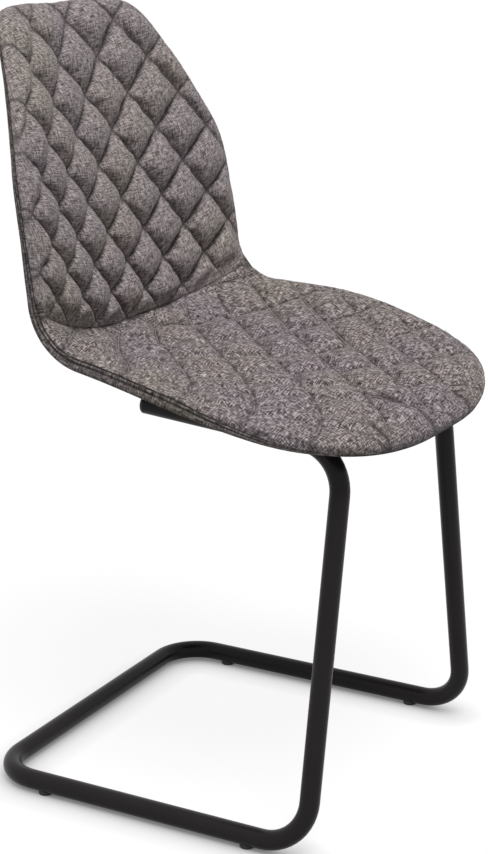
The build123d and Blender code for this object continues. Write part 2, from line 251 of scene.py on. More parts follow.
    def back_rim(self, end: float) -> np.ndarray:
        """Half of the back's rim as (x, v), from an end of the crease up to the top's middle.

        Args:
            end: The x of that end of the crease.

        Returns:
            Places with x counted outwards.
        """
        crease_t = float(self.t_at(self.crease(end)))
        top = self.middle(0.0, 0.0)[2]
        taper_z = self.middle(0.0, 1.0)[2] + self.taper_rise
        hub_x = self.neck_half - self.taper_r
        shoulder_z = top - self.top_crown - self.corner_r
        reach = self.taper_r - self.corner_r
        corner_x = hub_x + math.sqrt(reach**2 - (shoulder_z - taper_z) ** 2)
        lean = math.atan2(shoulder_z - taper_z, corner_x - hub_x)
        neck_z = np.linspace(self.middle(self.neck_half, crease_t)[2], taper_z, self.neck_points)[:-1]
        taper = np.linspace(0, lean, self.taper_points)[:-1]
        corner = np.linspace(lean, math.pi / 2, self.corner_points)[:-1]
        edge_x = np.linspace(corner_x, 0, self.top_points)
        x = np.concatenate([
            np.full(neck_z.shape, self.neck_half),
            hub_x + self.taper_r * np.cos(taper),
            corner_x + self.corner_r * np.cos(corner),
            edge_x,
        ])
        z = np.concatenate([
            neck_z,
            taper_z + self.taper_r * np.sin(taper),
            shoulder_z + self.corner_r * np.sin(corner),
            top - self.top_crown * (edge_x / corner_x) ** 2,
        ])
        return np.stack([x, self.down(self._solve(x, z, 2, (self.t_above, crease_t)))], -1)

    def seat_rim(self, end: float) -> np.ndarray:
        """Half of the seat's rim as (x, v), from an end of the crease to the nose's middle.

        Args:
            end: The x of that end of the crease.

        Returns:
            Places with x counted outwards.
        """
        crease_t = float(self.t_at(self.crease(end)))
        front = self.middle(0.0, 4.0)[1]
        wide = front + self.round_len
        neck_y = self.middle(self.side_x, 1.0)[1]
        pull = wide + (front - wide) * self.round_pull
        neck, half = self.neck_half, self.seat_half
        swell = (
            (neck, neck_y),
            (neck, neck_y - self.swell_pull),
            (half, wide + self.swell_pull),
            (half, wide),
        )
        nose = ((half, wide), (half, pull), (half * self.round_pull, front), (0.0, front))
        u = np.linspace(0, 1, self.curve_points)[:, None]
        share = np.hstack([(1 - u) ** 3, 3 * u * (1 - u) ** 2, 3 * u * u * (1 - u), u**3])
        x, y = np.concatenate([(share @ np.array(swell))[:-1], share @ np.array(nose)]).T
        ahead = y < self.middle(self.neck_half, crease_t)[1] - self.crease_clear
        x, y = x[ahead], y[ahead]
        v = self.down(self._solve(x, y, 1, (crease_t, self.t_beyond)))
        return np.concatenate([[(self.neck_half, self.crease(end))], np.stack([x, v], -1)])

    def full_rim(self, panel: Panel) -> np.ndarray:
        """A panel's rim as (x, v), from the right end of the crease to the left one.

        The padding stands a little proud of the shell: the back's sides bulge at mid height, its top
        corners are full, the near one most, and so is the nose's far side.
        """
        draw = self.back_rim if panel is Panel.BACK else self.seat_rim
        x, v = np.concatenate([draw(self.neck_half), draw(-self.neck_half)[-2::-1] * MIRROR]).T
        near, far = smooth_step(-x / self.lift_reach), smooth_step(x / self.lift_reach)
        if panel is Panel.BACK:
            fade = 1 - smooth_step(v / self.lift_reach)
            bulge = self.bulge * np.exp(-(((v - self.bulge_v) / self.bulge_reach) ** 2))
            lift = (self.near_lift * near + self.far_lift * far) * fade
            return np.stack([x + np.sign(x) * bulge, v - lift], -1)
        full = far * smooth_step((v - self.nose_full_v) / self.lift_reach)
        return np.stack([x + self.nose_full_x * full, v + self.nose_full * full], -1)

    def panel_edge(self, panel: Panel) -> np.ndarray:
        """A panel's closed edge as (x, v): its rim, then back along the crease."""
        x = np.linspace(-self.neck_half, self.neck_half, self.crease_points)[1:-1]
        return np.concatenate([self.full_rim(panel), np.stack([x, self.crease(x)], -1)])

    def whole_edge(self) -> np.ndarray:
        """The whole shell's closed edge as (x, v), from the right end of the crease over the top."""
        return np.concatenate([self.full_rim(Panel.BACK), self.full_rim(Panel.SEAT)[-2:0:-1]])


@dataclass(frozen=True)
class Layers:
    """Depths of the shell's layers off its middle surface, and of the seam between panels and band."""

    cover_low: float = -0.0085
    cover_top: float = -0.0072
    board_top: float = 0.0013
    pad_low: float = 0.0018
    quilt_top: float = 0.0085
    seam_at_top: float = -0.0062
    seam_at_neck: float = -0.0022
    seam_at_seat: float = 0.0040
    seam_at_nose: float = -0.0058
    seam_places: tuple[float, ...] = (0.05, 0.30, 0.44, 0.57, 0.74)
    inset_places: tuple[float, ...] = (0.02, 0.08, 0.57, 0.74)
    rim_inset: float = 0.2

    def seam(self, v: np.ndarray) -> np.ndarray:
        """Depth of the rim's seam, which sinks towards the top of the back and under the nose."""
        seat = self.seam_at_seat
        depths = (self.seam_at_top, self.seam_at_neck, seat, seat, self.seam_at_nose)
        return np.interp(v, self.seam_places, depths)

    def drawn_in(self, v: np.ndarray) -> np.ndarray:
        """Share of its full inset that the seam keeps: little at top and nose, where the board is close."""
        return np.interp(v, self.inset_places, (self.rim_inset, 1.0, 1.0, self.rim_inset))


@dataclass(frozen=True)
class Lattice:
    """Crossed rows of quilting seams, which leave diamonds between them.

    Diamonds are counted along the two families of seams, so that whole numbers are seams. The rows may bow,
    as fabric does when it is stretched over a hollow shell.

    Attributes:
        half_x: Half a diamond's width.
        half_v: Half its height.
        lean: The angle that the whole pattern is turned by.
        x: Where a crossing lies, across.
        v: Where it lies, down the run.
        narrow: How much the columns draw together, going down.
        droop: How much the rows fall towards the sides.
        close: How much the rows draw together, away from that crossing.
        rounds: How often a count is closed in on.
    """

    half_x: float
    half_v: float
    lean: float
    x: float
    v: float
    narrow: float = 0.0
    droop: float = 0.0
    close: float = 0.0
    rounds: int = 12

    def place(self, i: np.ndarray, j: np.ndarray) -> tuple[np.ndarray, np.ndarray]:
        """The (x, v) of a count along both families."""
        c, s = math.cos(self.lean), math.sin(self.lean)
        a, d = j - i, i + j
        x = self.x + self.half_x * a * c - self.half_v * d * s + self.narrow * a * d
        v = self.v + self.half_x * a * s + self.half_v * d * c
        return x, v + self.droop * a * a + self.close * d * d

    def count(self, x: np.ndarray, v: np.ndarray) -> tuple[np.ndarray, np.ndarray]:
        """The count along both families at (x, v), closed in on from the unbowed rows."""
        c, s = math.cos(self.lean), math.sin(self.lean)
        aim_x, aim_v = x, v
        for _ in range(self.rounds):
            across = ((aim_x - self.x) * c + (aim_v - self.v) * s) / self.half_x
            down = ((aim_v - self.v) * c - (aim_x - self.x) * s) / self.half_v
            i, j = (down - across) / 2, (down + across) / 2
            got_x, got_v = self.place(i, j)
            aim_x, aim_v = aim_x + (x - got_x), aim_v + (v - got_v)
        return i, j


def nearest_on(line: np.ndarray, points: np.ndarray) -> tuple[np.ndarray, np.ndarray]:
    """Where on an open polyline its nearest places to some points are.

    Args:
        line: The polyline's points, two numbers each.
        points: The points to measure from.

    Returns:
        Places counted in the polyline's steps, and the distances.
    """
    place = np.zeros(len(points))
    best = np.full(len(points), np.inf)
    for k, (a, b) in enumerate(zip(line[:-1], line[1:])):
        step = b - a
        share = np.clip(((points - a) @ step) / (step @ step), 0, 1)
        gap = np.hypot(*(points - a - share[:, None] * step).T)
        closer = gap < best
        best[closer] = gap[closer]
        place[closer] = k + share[closer]
    return place, best


def inside(line: np.ndarray, points: np.ndarray) -> np.ndarray:
    """Whether points lie inside a polyline closed from its last point to its first."""
    within = np.zeros(len(points), bool)
    x, y = points.T
    for (ax, ay), (bx, by) in zip(line, np.roll(line, -1, 0)):
        if ay != by:
            crosses = (ay > y) != (by > y)
            within ^= crosses & (x < ax + (y - ay) * (bx - ax) / (by - ay))
    return within


class Loop:
    """A closed line of evenly spaced (x, v) points with soft corners, and a depth at each."""

    def __init__(self, points: np.ndarray, depth: np.ndarray, spacing: float, soften: float) -> None:
        """Respaces and softens a closed line.

        Args:
            points: The line's own points.
            depth: The depth at each.
            spacing: About how far apart the new points are.
            soften: How far the softening reaches along the line.
        """
        values = np.column_stack([points, depth])
        values = np.concatenate([values, values[:1]])
        length = np.concatenate([[0.0], np.cumsum(np.hypot(*np.diff(values[:, :2], axis=0).T))])
        count = round(length[-1] / spacing)
        even = np.linspace(0, length[-1], count, endpoint=False)
        values = np.stack([np.interp(even, length, column) for column in values.T], -1)
        waves = np.fft.rfftfreq(count, length[-1] / count)
        keep = np.exp(-0.5 * (2 * math.pi * waves * soften) ** 2)[:, None]
        values = np.fft.irfft(np.fft.rfft(values, axis=0) * keep, count, axis=0)
        self.points, self.depth = values[:, :2], values[:, 2]
        self.step = length[-1] / count
        ahead = np.roll(self.points, -1, 0) - np.roll(self.points, 1, 0)
        x, v = self.points.T
        turn = np.sign((x * np.roll(v, -1) - np.roll(x, -1) * v).sum())
        self.out = turn * np.stack([ahead[:, 1], -ahead[:, 0]], -1)
        self.out /= np.linalg.norm(self.out, axis=1, keepdims=True)

    def inset(self, distance: float | np.ndarray) -> np.ndarray:
        """The line moved inwards, point by point."""
        return self.points - self.out * np.broadcast_to(distance, len(self.points))[:, None]

    def pick(self, values: np.ndarray, place: np.ndarray) -> np.ndarray:
        """Values of the line's points at places counted in its steps."""
        low = np.floor(place).astype(int)
        share = (place - low).reshape(-1, *[1] * (values.ndim - 1))
        return values[low % len(values)] * (1 - share) + values[(low + 1) % len(values)] * share


def closed(line: np.ndarray) -> np.ndarray:
    """A line with its first point again at its end."""
    return np.concatenate([line, line[:1]])


@dataclass
class FlatSheet:
    """A sheet cut to an outline, still flat: (x, v) points, faces, and which points lie on seams."""

    spots: np.ndarray
    faces: Faces
    seam: np.ndarray

    def edge(self) -> list[int]:
        """Points round the sheet's cut edge, in its faces' direction."""
        sides = {(a, b) for face in self.faces for a, b in zip(face, face[1:] + face[:1])}
        follow = {a: b for a, b in sides if (b, a) not in sides}
        ring = [min(follow)]
        while follow[ring[-1]] != ring[0]:
            ring.append(follow[ring[-1]])
        return ring


def cut_sheet(lattice: Lattice, outline: np.ndarray, steps: int, gather: float) -> FlatSheet:
    """Cuts a grid that follows the seams to an outline.

    Args:
        lattice: The quilting that the grid follows.
        outline: Closed polyline of (x, v).
        steps: Grid steps in a diamond's side.
        gather: How much closer the grid stands beside the seams, from 0 to under 1.

    Returns:
        The flat sheet.
    """
    ranges = []
    for count in lattice.count(*outline.T):
        ranges.append(np.arange(math.floor(count.min()) * steps, math.ceil(count.max()) * steps + 1))
    turn = 2 * math.pi
    lines = [r / steps - gather * np.sin(turn * r / steps) / turn for r in ranges]
    points = np.stack(lattice.place(*np.meshgrid(*lines, indexing="ij")), -1).reshape(-1, 2)
    loop = closed(outline)
    place, gap = nearest_on(loop, points)
    gap = np.where(inside(outline, points), gap, -gap)
    side = math.hypot(lattice.half_x, lattice.half_v) / steps
    low = np.minimum(place.astype(int), len(outline) - 1)
    near = loop[low] + (place - low)[:, None] * (loop[low + 1] - loop[low])
    snap = np.abs(gap) < SNAP_SHARE * side
    points[snap] = near[snap]
    gap[snap] = 0.0
    on_seam = ((ranges[0] % steps == 0)[:, None] | (ranges[1] % steps == 0)[None, :]).ravel()
    spots: list[np.ndarray] = []
    seam: list[bool] = []
    names: dict[tuple[int, int], int] = {}

    def named(a: int, b: int) -> int:
        """The sheet's own number for a grid point, or for the cut between two of them."""
        key = (min(a, b), max(a, b))
        if key not in names:
            names[key] = len(spots)
            share = 0.0 if a == b else gap[a] / (gap[a] - gap[b])
            spots.append(points[a] + (points[b] - points[a]) * share)
            seam.append(bool(on_seam[a] and on_seam[b]))
        return names[key]

    faces = []
    width = len(ranges[1])
    for p in range(len(ranges[0]) - 1):
        for q in range(width - 1):
            k = p * width + q
            ring = (k, k + 1, k + 1 + width, k + width)
            if gap[list(ring)].max() <= 0:
                continue
            face = []
            for a, b in zip(ring, ring[1:] + ring[:1]):
                if gap[a] >= 0:
                    face.append(named(a, a))
                if gap[a] * gap[b] < 0:
                    face.append(named(a, b))
            if len(face) > 2:
                faces.append(tuple(face))
    return FlatSheet(np.array(spots), faces, np.array(seam))


def new_piece(name: str, points: np.ndarray, faces: Faces) -> bpy.types.Object:
    """Links a smooth-shaded mesh object to the scene.

    Args:
        name: The piece's name.
        points: Its vertices.
        faces: Its faces.

    Returns:
        The new object.
    """
    mesh = bpy.data.meshes.new(name)
    mesh.from_pydata(points.tolist(), [], faces)
    mesh.validate()
    mesh.shade_smooth()
    piece = bpy.data.objects.new(name, mesh)
    bpy.context.scene.collection.objects.link(piece)
    return piece


def add_values(piece: bpy.types.Object, name: str, values: np.ndarray) -> None:
    """Stores a number, or a vector, with each vertex for the finishes to read."""
    kind, field = ("FLOAT", "value") if values.ndim == 1 else ("FLOAT_VECTOR", "vector")
    attribute = piece.data.attributes.new(name, kind, "POINT")
    attribute.data.foreach_set(field, values.astype(np.float32).ravel())


def attach(piece: bpy.types.Object, finish: bpy.types.Material) -> None:
    """Gives a piece its finish, and lets it ride on the chair."""
    piece.data.materials.append(finish)
    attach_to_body(piece, BODY)


def bridge(first: list[int], second: list[int]) -> Faces:
    """Quads between two closed rows of points."""
    return [
        (a, b, d, c)
        for a, b, c, d in zip(first, first[1:] + first[:1], second, second[1:] + second[:1])
    ]


@dataclass(frozen=True)
class ClothSwell:
    """Cloth simulation that swells a sewn sheet between its seams."""

    pressure: float = 4.0
    frames: int = 20
    cap: float = 0.004
    slack: float = 0.03
    quality: int = 6
    mass: float = 0.2
    stretch: float = 20
    shear: float = 8
    bending: float = 0.6

    def swell(self, name: str, points: np.ndarray, faces: Faces, held: np.ndarray) -> np.ndarray:
        """Swells the sheet and leaves no simulation behind.

        Args:
            name: A name for the passing object.
            points: Where the sheet starts.
            faces: Its faces, whose normals point the way it swells.
            held: Which points are sewn down.

        Returns:
            Where the points end up, none further than the cap.
        """
        cloth = new_piece(name, points, faces)
        group = cloth.vertex_groups.new(name="sewn")
        group.add(np.flatnonzero(held).tolist(), 1.0, "REPLACE")
        modifier = cloth.modifiers.new("swell", "CLOTH")
        settings = modifier.settings
        settings.quality = self.quality
        settings.mass = self.mass
        settings.tension_stiffness = self.stretch
        settings.compression_stiffness = self.stretch
        settings.shear_stiffness = self.shear
        settings.bending_stiffness = self.bending
        settings.use_pressure = True
        settings.uniform_pressure_force = self.pressure
        settings.shrink_min = -self.slack
        settings.vertex_group_mass = group.name
        settings.effector_weights.gravity = 0
        modifier.collision_settings.use_collision = False
        modifier.point_cache.frame_start = 1
        modifier.point_cache.frame_end = self.frames
        scene = bpy.context.scene
        for number in range(1, self.frames + 1):
            scene.frame_set(number)
        shown = cloth.evaluated_get(bpy.context.evaluated_depsgraph_get()).to_mesh()
        moved = np.zeros(len(points) * 3)
        shown.vertices.foreach_get("co", moved)
        shift = moved.reshape(-1, 3) - points
        size = np.linalg.norm(shift, axis=1, keepdims=True)
        shift *= np.minimum(1, self.cap / np.maximum(size, TINY))
        mesh = cloth.data
        bpy.data.objects.remove(cloth)
        bpy.data.meshes.remove(mesh)
        scene.frame_set(1)
        return points + shift


@dataclass(frozen=True)
class Thread:
    """Stitches of sewing thread: short round strands that dip into the fabric at both ends.

    Attributes:
        rings: Rings along a stitch, each with its share of the length, and its rise and width in radii.
    """

    pitch: float = 0.0048
    length: float = 0.0038
    radius: float = 0.00038
    sides: int = 5
    rings: tuple[tuple[float, float, float], ...] = (
        (0.0, -1.6, 0.55), (0.14, 0.2, 1.0), (0.5, 0.7, 1.0), (0.86, 0.2, 1.0), (1.0, -1.6, 0.55),
    )

    def sew(self, lines: list[tuple[np.ndarray, np.ndarray]]) -> tuple[np.ndarray, Faces]:
        """Lays stitches along lines.

        Args:
            lines: Points of each line, and the way that the fabric faces there.

        Returns:
            Vertices and faces of all the stitches.
        """
        share, rise, width = np.array(self.rings).T
        spines, ups = [], []
        for line, facing in lines:
            length = np.concatenate([[0.0], np.cumsum(np.linalg.norm(np.diff(line, axis=0), axis=1))])
            starts = np.arange(0, length[-1] - self.length, self.pitch)
            at = starts[:, None] + share * self.length
            spines.append(np.stack([np.interp(at, length, column) for column in line.T], -1))
            ups.append(np.stack([np.interp(at, length, column) for column in facing.T], -1))
        spine, up = np.concatenate(spines), np.concatenate(ups)
        side = np.cross((spine[:, -1] - spine[:, 0])[:, None], up)
        side /= np.linalg.norm(side, axis=-1, keepdims=True)
        turn = np.linspace(0, 2 * math.pi, self.sides, endpoint=False)[:, None]
        centre = spine + up * (self.radius * rise)[:, None]
        spread = side[:, :, None] * np.cos(turn) + up[:, :, None] * np.sin(turn)
        points = centre[:, :, None] + spread * (self.radius * width)[:, None, None]
        faces: Faces = []
        size = len(share) * self.sides
        for start in range(0, len(spine) * size, size):
            firsts = range(start, start + size, self.sides)
            rows = [list(range(first, first + self.sides)) for first in firsts]
            for first, second in zip(rows, rows[1:]):
                faces += bridge(first, second)
            faces += [tuple(reversed(rows[0])), tuple(rows[-1])]
        return points.reshape(-1, 3), faces


@dataclass(frozen=True)
class Pleat:
    """A groove where the fabric is drawn in, from nothing at its first point to full further on.

    Attributes:
        line: Its places as (x, v).
        drop: How deep it is.
        width: How far beside its line the depth falls to about a third.
        grow: Share of the line over which it grows to full.
        shade_width: Half the width of its streak of painted shade.
        shade_shift: How far that painted shade lies towards +X, onto the groove's far wall.
    """

    line: tuple[tuple[float, float], ...]
    drop: float = 0.0058
    width: float = 0.0080
    grow: float = 0.45
    shade_width: float = 0.0036
    shade_shift: float = 0.0024

    def pull(self, spots: np.ndarray) -> tuple[np.ndarray, np.ndarray]:
        """How strongly the pleat acts at some (x, v), from 0 to 1, and how far off its line they are."""
        place, gap = nearest_on(np.array(self.line), spots)
        return smooth_step(place / (len(self.line) - 1) / self.grow), gap

    def depth(self, spots: np.ndarray) -> np.ndarray:
        """How deep the fabric is drawn in."""
        strength, gap = self.pull(spots)
        return self.drop * strength * np.exp(-gap / self.width)

    def shade(self, spots: np.ndarray) -> np.ndarray:
        """Painted shade, from 0 to 1: most on its far wall, where the fold's shade falls."""
        strength, gap = self.pull(spots - (self.shade_shift, 0.0))
        return strength * np.exp(-((gap / self.shade_width) ** 2))


@dataclass
class PanelLayout:
    """A panel's upper side: the cut sheet, then rows of points that roll down round it.

    Attributes:
        flat: The cut sheet.
        rows: The sheet's edge and the rows after it, as points' numbers.
        faces: All its faces.
        spots: All its points as (x, v).
        depth: Their depths.
        inset: Their distances from the panel's edge.
        on_edge: The places on the panel's edge that a row's points belong to.
        out: The way outwards there.
    """

    flat: FlatSheet
    rows: list[list[int]]
    faces: Faces
    spots: np.ndarray
    depth: np.ndarray
    inset: np.ndarray
    on_edge: np.ndarray
    out: np.ndarray


@dataclass
class QuiltedPanel:
    """One padded panel of the shell, sewn through in diamonds and rolled down to its edge's seams.

    Attributes:
        crown: How high a diamond's middle stands.
        sag: How much fuller a diamond is at its lower end.
        groove: How deep the seams are drawn in.
        painted_seam_dark: How dark the seams are painted: painted shade in their grooves.
        nose_roll: How much wider the edge's roll grows round the nose, between nose_from and nose_to.
        gather: How much closer the grid stands beside the seams.
        plump: How quickly a diamond rises from its seams: the lower, the quicker.
        fade: Width beside the edge over which the quilting dies away.
        edge_swell: Share of swell and pleats that is left at the edge.
        scallop: How far the diamonds push the edge out.
        roll: Rows that roll down to the edge, each with its inset and its share of the fall.
        turn: Share of the fall from which the roll turns back in under itself.
        held_rows: How many of the last rows are sewn down.
        held_pull: Share of a pleat's depth from which it is sewn down.
        lip_in: How much further in the underside's rim lies.
        thread_row: The roll's row that the quilting thread stops at.
    """

    panel: Panel
    lattice: Lattice
    crown: float
    sag: float
    groove: float
    painted_seam_dark: float
    stands_for: tuple[str, ...]
    fill: float
    pleats: tuple[Pleat, ...] = ()
    nose_roll: float = 0.0
    nose_from: float = 0.66
    nose_to: float = 0.76
    form: ShellForm = ShellForm()
    layers: Layers = Layers()
    cloth: ClothSwell = ClothSwell()
    thread: Thread = Thread()
    steps: int = 18
    gather: float = 0.6
    plump: float = 0.6
    crease_gap: float = 0.0004
    crease_floor: float = 0.0022
    spacing: float = 0.0022
    soften: float = 0.006
    fade: float = 0.022
    edge_swell: float = 0.3
    scallop: float = 0.0012
    # Half the width of the painted shade along the quilting seams.
    seam_shade_width: float = 0.0036
    roll: tuple[tuple[float, float], ...] = (
        (0.0100, 0.0), (0.0075, 0.012), (0.0053, 0.045), (0.0034, 0.10), (0.0019, 0.19), (0.0008, 0.31),
        (0.0002, 0.47), (0.0000, 0.66), (0.0004, 0.84), (0.0013, 0.95), (0.0028, 1.0),
    )
    turn: float = 0.7
    held_rows: int = 3
    held_pull: float = 0.55
    lip_in: float = 0.0004
    on_crease: float = 1e-4
    thread_row: int = 3
    thread_step: float = 0.02
    thread_least: int = 4

    @property
    def name(self) -> str:
        """The piece's name."""
        return f"quilted_{self.panel.value}_panel"

    def edge(self) -> Loop:
        """The panel's edge, with the depth that it rolls down to."""
        line = self.form.panel_edge(self.panel)
        on_crease = np.abs(line[:, 1] - self.form.crease(line[:, 0])) < self.on_crease
        depth = np.where(on_crease, self.crease_floor, self.layers.seam(line[:, 1]))
        away = self.crease_gap if self.panel is Panel.SEAT else -self.crease_gap
        line = line + np.outer(on_crease, (0.0, away))
        return Loop(line, depth, self.spacing, self.soften)

    def puff(self, x: np.ndarray, v: np.ndarray) -> np.ndarray:
        """How full the padding is at a place: 0 on the seams, about 1 in the middle of a diamond."""
        i, j = self.lattice.count(x, v)
        a, b = i - np.floor(i), j - np.floor(j)
        full = np.clip(16 * a * (1 - a) * b * (1 - b), 0, 1) ** self.plump
        return full * (1 + self.sag * (a + b - 1))

    def kept(self, inset: np.ndarray) -> np.ndarray:
        """Share of swell and pleats that is left at an inset from the edge."""
        return self.edge_swell + (1 - self.edge_swell) * smooth_step(inset / self.fade)

    def height(self, x: np.ndarray, v: np.ndarray, inset: np.ndarray) -> np.ndarray:
        """Depth of the padded surface where it has not begun to roll down, at an inset from the edge."""
        fade = smooth_step(inset / self.fade)
        drawn = sum((pleat.depth(np.stack([x, v], -1)) for pleat in self.pleats), np.zeros(len(x)))
        quilt = (self.crown * self.puff(x, v) - self.groove) * fade
        return self.layers.quilt_top + quilt - drawn * self.kept(inset)

    def widen(self, v: np.ndarray) -> np.ndarray:
        """How much wider the edge's roll is there: it grows round the nose."""
        return 1 + self.nose_roll * smooth_step((v - self.nose_from) / (self.nose_to - self.nose_from))

    def seam_shade(self, x: np.ndarray, v: np.ndarray) -> np.ndarray:
        """Painted shade on the fabric, from 0 to 1: the seams' set strength in their grooves, and up to 1 in
        a pleat's fold.
        """
        i, j = self.lattice.count(x, v)
        half_x, half_v = self.lattice.half_x, self.lattice.half_v
        side = 2 * half_x * half_v / math.hypot(half_x, half_v)
        gap = np.minimum(np.abs(i - np.round(i)), np.abs(j - np.round(j))) * side
        shade = self.painted_seam_dark * (1 - smooth_step(gap / self.seam_shade_width))
        for pleat in self.pleats:
            shade = np.maximum(shade, pleat.shade(np.stack([x, v], -1)))
        return shade

    def lay_out(self) -> PanelLayout:
        """Cuts the sheet and adds the rows that roll down to the seams round it."""
        edge = self.edge()
        wide = self.widen(edge.points[:, 1])
        tight = self.layers.drawn_in(edge.points[:, 1])
        inner = edge.inset(self.roll[0][0] * wide)
        flat = cut_sheet(self.lattice, inner, self.steps, self.gather)
        rows = [flat.edge()]
        place = nearest_on(closed(inner), flat.spots[rows[0]])[0]
        on_edge, out, floor, wide, tight = (
            edge.pick(values, place) for values in (edge.points, edge.out, edge.depth, wide, tight)
        )
        spots = [flat.spots]
        insets = [nearest_on(closed(edge.points), flat.spots)[1]]
        depths = [self.height(*flat.spots.T, insets[0])]
        faces = list(flat.faces)
        start, count = len(flat.spots), len(place)
        for inset, fall in self.roll[1:]:
            reach = inset * (1 + (wide - 1) * (1 - fall) if fall < self.turn else tight)
            row = on_edge - out * reach[:, None]
            swell = self.scallop * fall * self.puff(*(on_edge - out * self.fade).T)
            top = self.height(*row.T, reach)
            insets.append(reach)
            spots.append(row + out * swell[:, None])
            depths.append(top + (floor - top) * fall)
            rows.append(list(range(start, start + count)))
            faces += bridge(rows[-1], rows[-2])
            start += count
        joined = (np.concatenate(values) for values in (spots, depths, insets))
        return PanelLayout(flat, rows, faces, *joined, on_edge, out)

    def pad(self, layout: PanelLayout) -> np.ndarray:
        """Stands the layout on the shell, and swells it between its seams."""
        points = self.form.skin(*layout.spots.T, layout.depth)
        held = np.zeros(len(points), bool)
        held[: len(layout.flat.seam)] = layout.flat.seam
        held[layout.rows[-self.held_rows][0]:] = True
        for pleat in self.pleats:
            held |= pleat.depth(layout.spots) > self.held_pull * pleat.drop
        swollen = self.cloth.swell(f"{self.name}_cloth", points, layout.faces, held)
        return points + (swollen - points) * self.kept(layout.inset)[:, None]

    def weave(self, layout: PanelLayout, points: np.ndarray) -> np.ndarray:
        """Where the fabric's weave lies at each point: it runs on over the edge without stretching."""
        rows = layout.rows
        ran = np.zeros(len(rows[0]))
        woven = [layout.flat.spots]
        for before, row in zip(rows, rows[1:]):
            ran = ran + np.linalg.norm(points[row] - points[before], axis=1)
            woven.append(layout.flat.spots[rows[0]] + layout.out * ran[:, None])
        return np.concatenate(woven)

    def build(self, finish: bpy.types.Material) -> bpy.types.Object:
        """Cuts, pads and closes the panel.

        Args:
            finish: The fabric's material.

        Returns:
            The finished piece, riding on the chair.
        """
        layout = self.lay_out()
        ring = layout.rows[0]
        upper = self.pad(layout)
        lip_spots = layout.on_edge - layout.out * (self.roll[-1][0] + self.lip_in)
        under = np.concatenate([lip_spots, layout.flat.spots])
        lower = self.form.skin(*under.T, np.full(len(under), self.layers.pad_low))
        below = len(upper) + len(ring)
        lip = list(range(len(upper), below))
        faces = layout.faces + bridge(lip, layout.rows[-1]) + bridge([below + k for k in ring], lip)
        faces += [tuple(below + k for k in reversed(face)) for face in layout.flat.faces]
        piece = new_piece(self.name, np.concatenate([upper, lower]), faces)
        # Painted shade: the finish darkens the fabric by these values in the seams' grooves and the pleats'
        # folds.
        shade = self.seam_shade(*layout.spots.T)
        add_values(piece, "seam", np.concatenate([shade, np.zeros(len(under))]))
        woven = np.concatenate([self.weave(layout, upper), under])
        add_values(piece, "weave", np.column_stack([woven, np.zeros(len(woven))]))
        attach(piece, finish)
        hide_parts(*self.stands_for)
        return piece

    def stitch(self, finish: bpy.types.Material) -> bpy.types.Object:
        """Sews thread along the quilting seams.

        Args:
            finish: The thread's material.

        Returns:
            All the panel's stitches as one piece.
        """
        edge = self.edge()
        inner = edge.inset(self.roll[self.thread_row][0] * self.widen(edge.points[:, 1]))
        lines = []
        counts = self.lattice.count(*inner.T)
        for along, across in ((0, 1), (1, 0)):
            steps = np.arange(counts[across].min(), counts[across].max(), self.thread_step)
            for number in range(math.ceil(counts[along].min()), math.floor(counts[along].max()) + 1):
                fixed = np.full(steps.shape, float(number))
                i, j = (fixed, steps) if along == 0 else (steps, fixed)
                spots = np.stack(self.lattice.place(i, j), -1)
                spots = spots[inside(inner, spots)]
                if len(spots) < self.thread_least:
                    continue
                inset = nearest_on(closed(edge.points), spots)[1]
                depth = self.height(*spots.T, inset) + self.thread.radius
                facing = self.form.normal(spots[:, 0], self.form.t_at(spots[:, 1]))
                lines.append((self.form.skin(*spots.T, depth), facing))
        piece = new_piece(f"quilting_thread_{self.panel.value}", *self.thread.sew(lines))
        attach(piece, finish)
        return piece


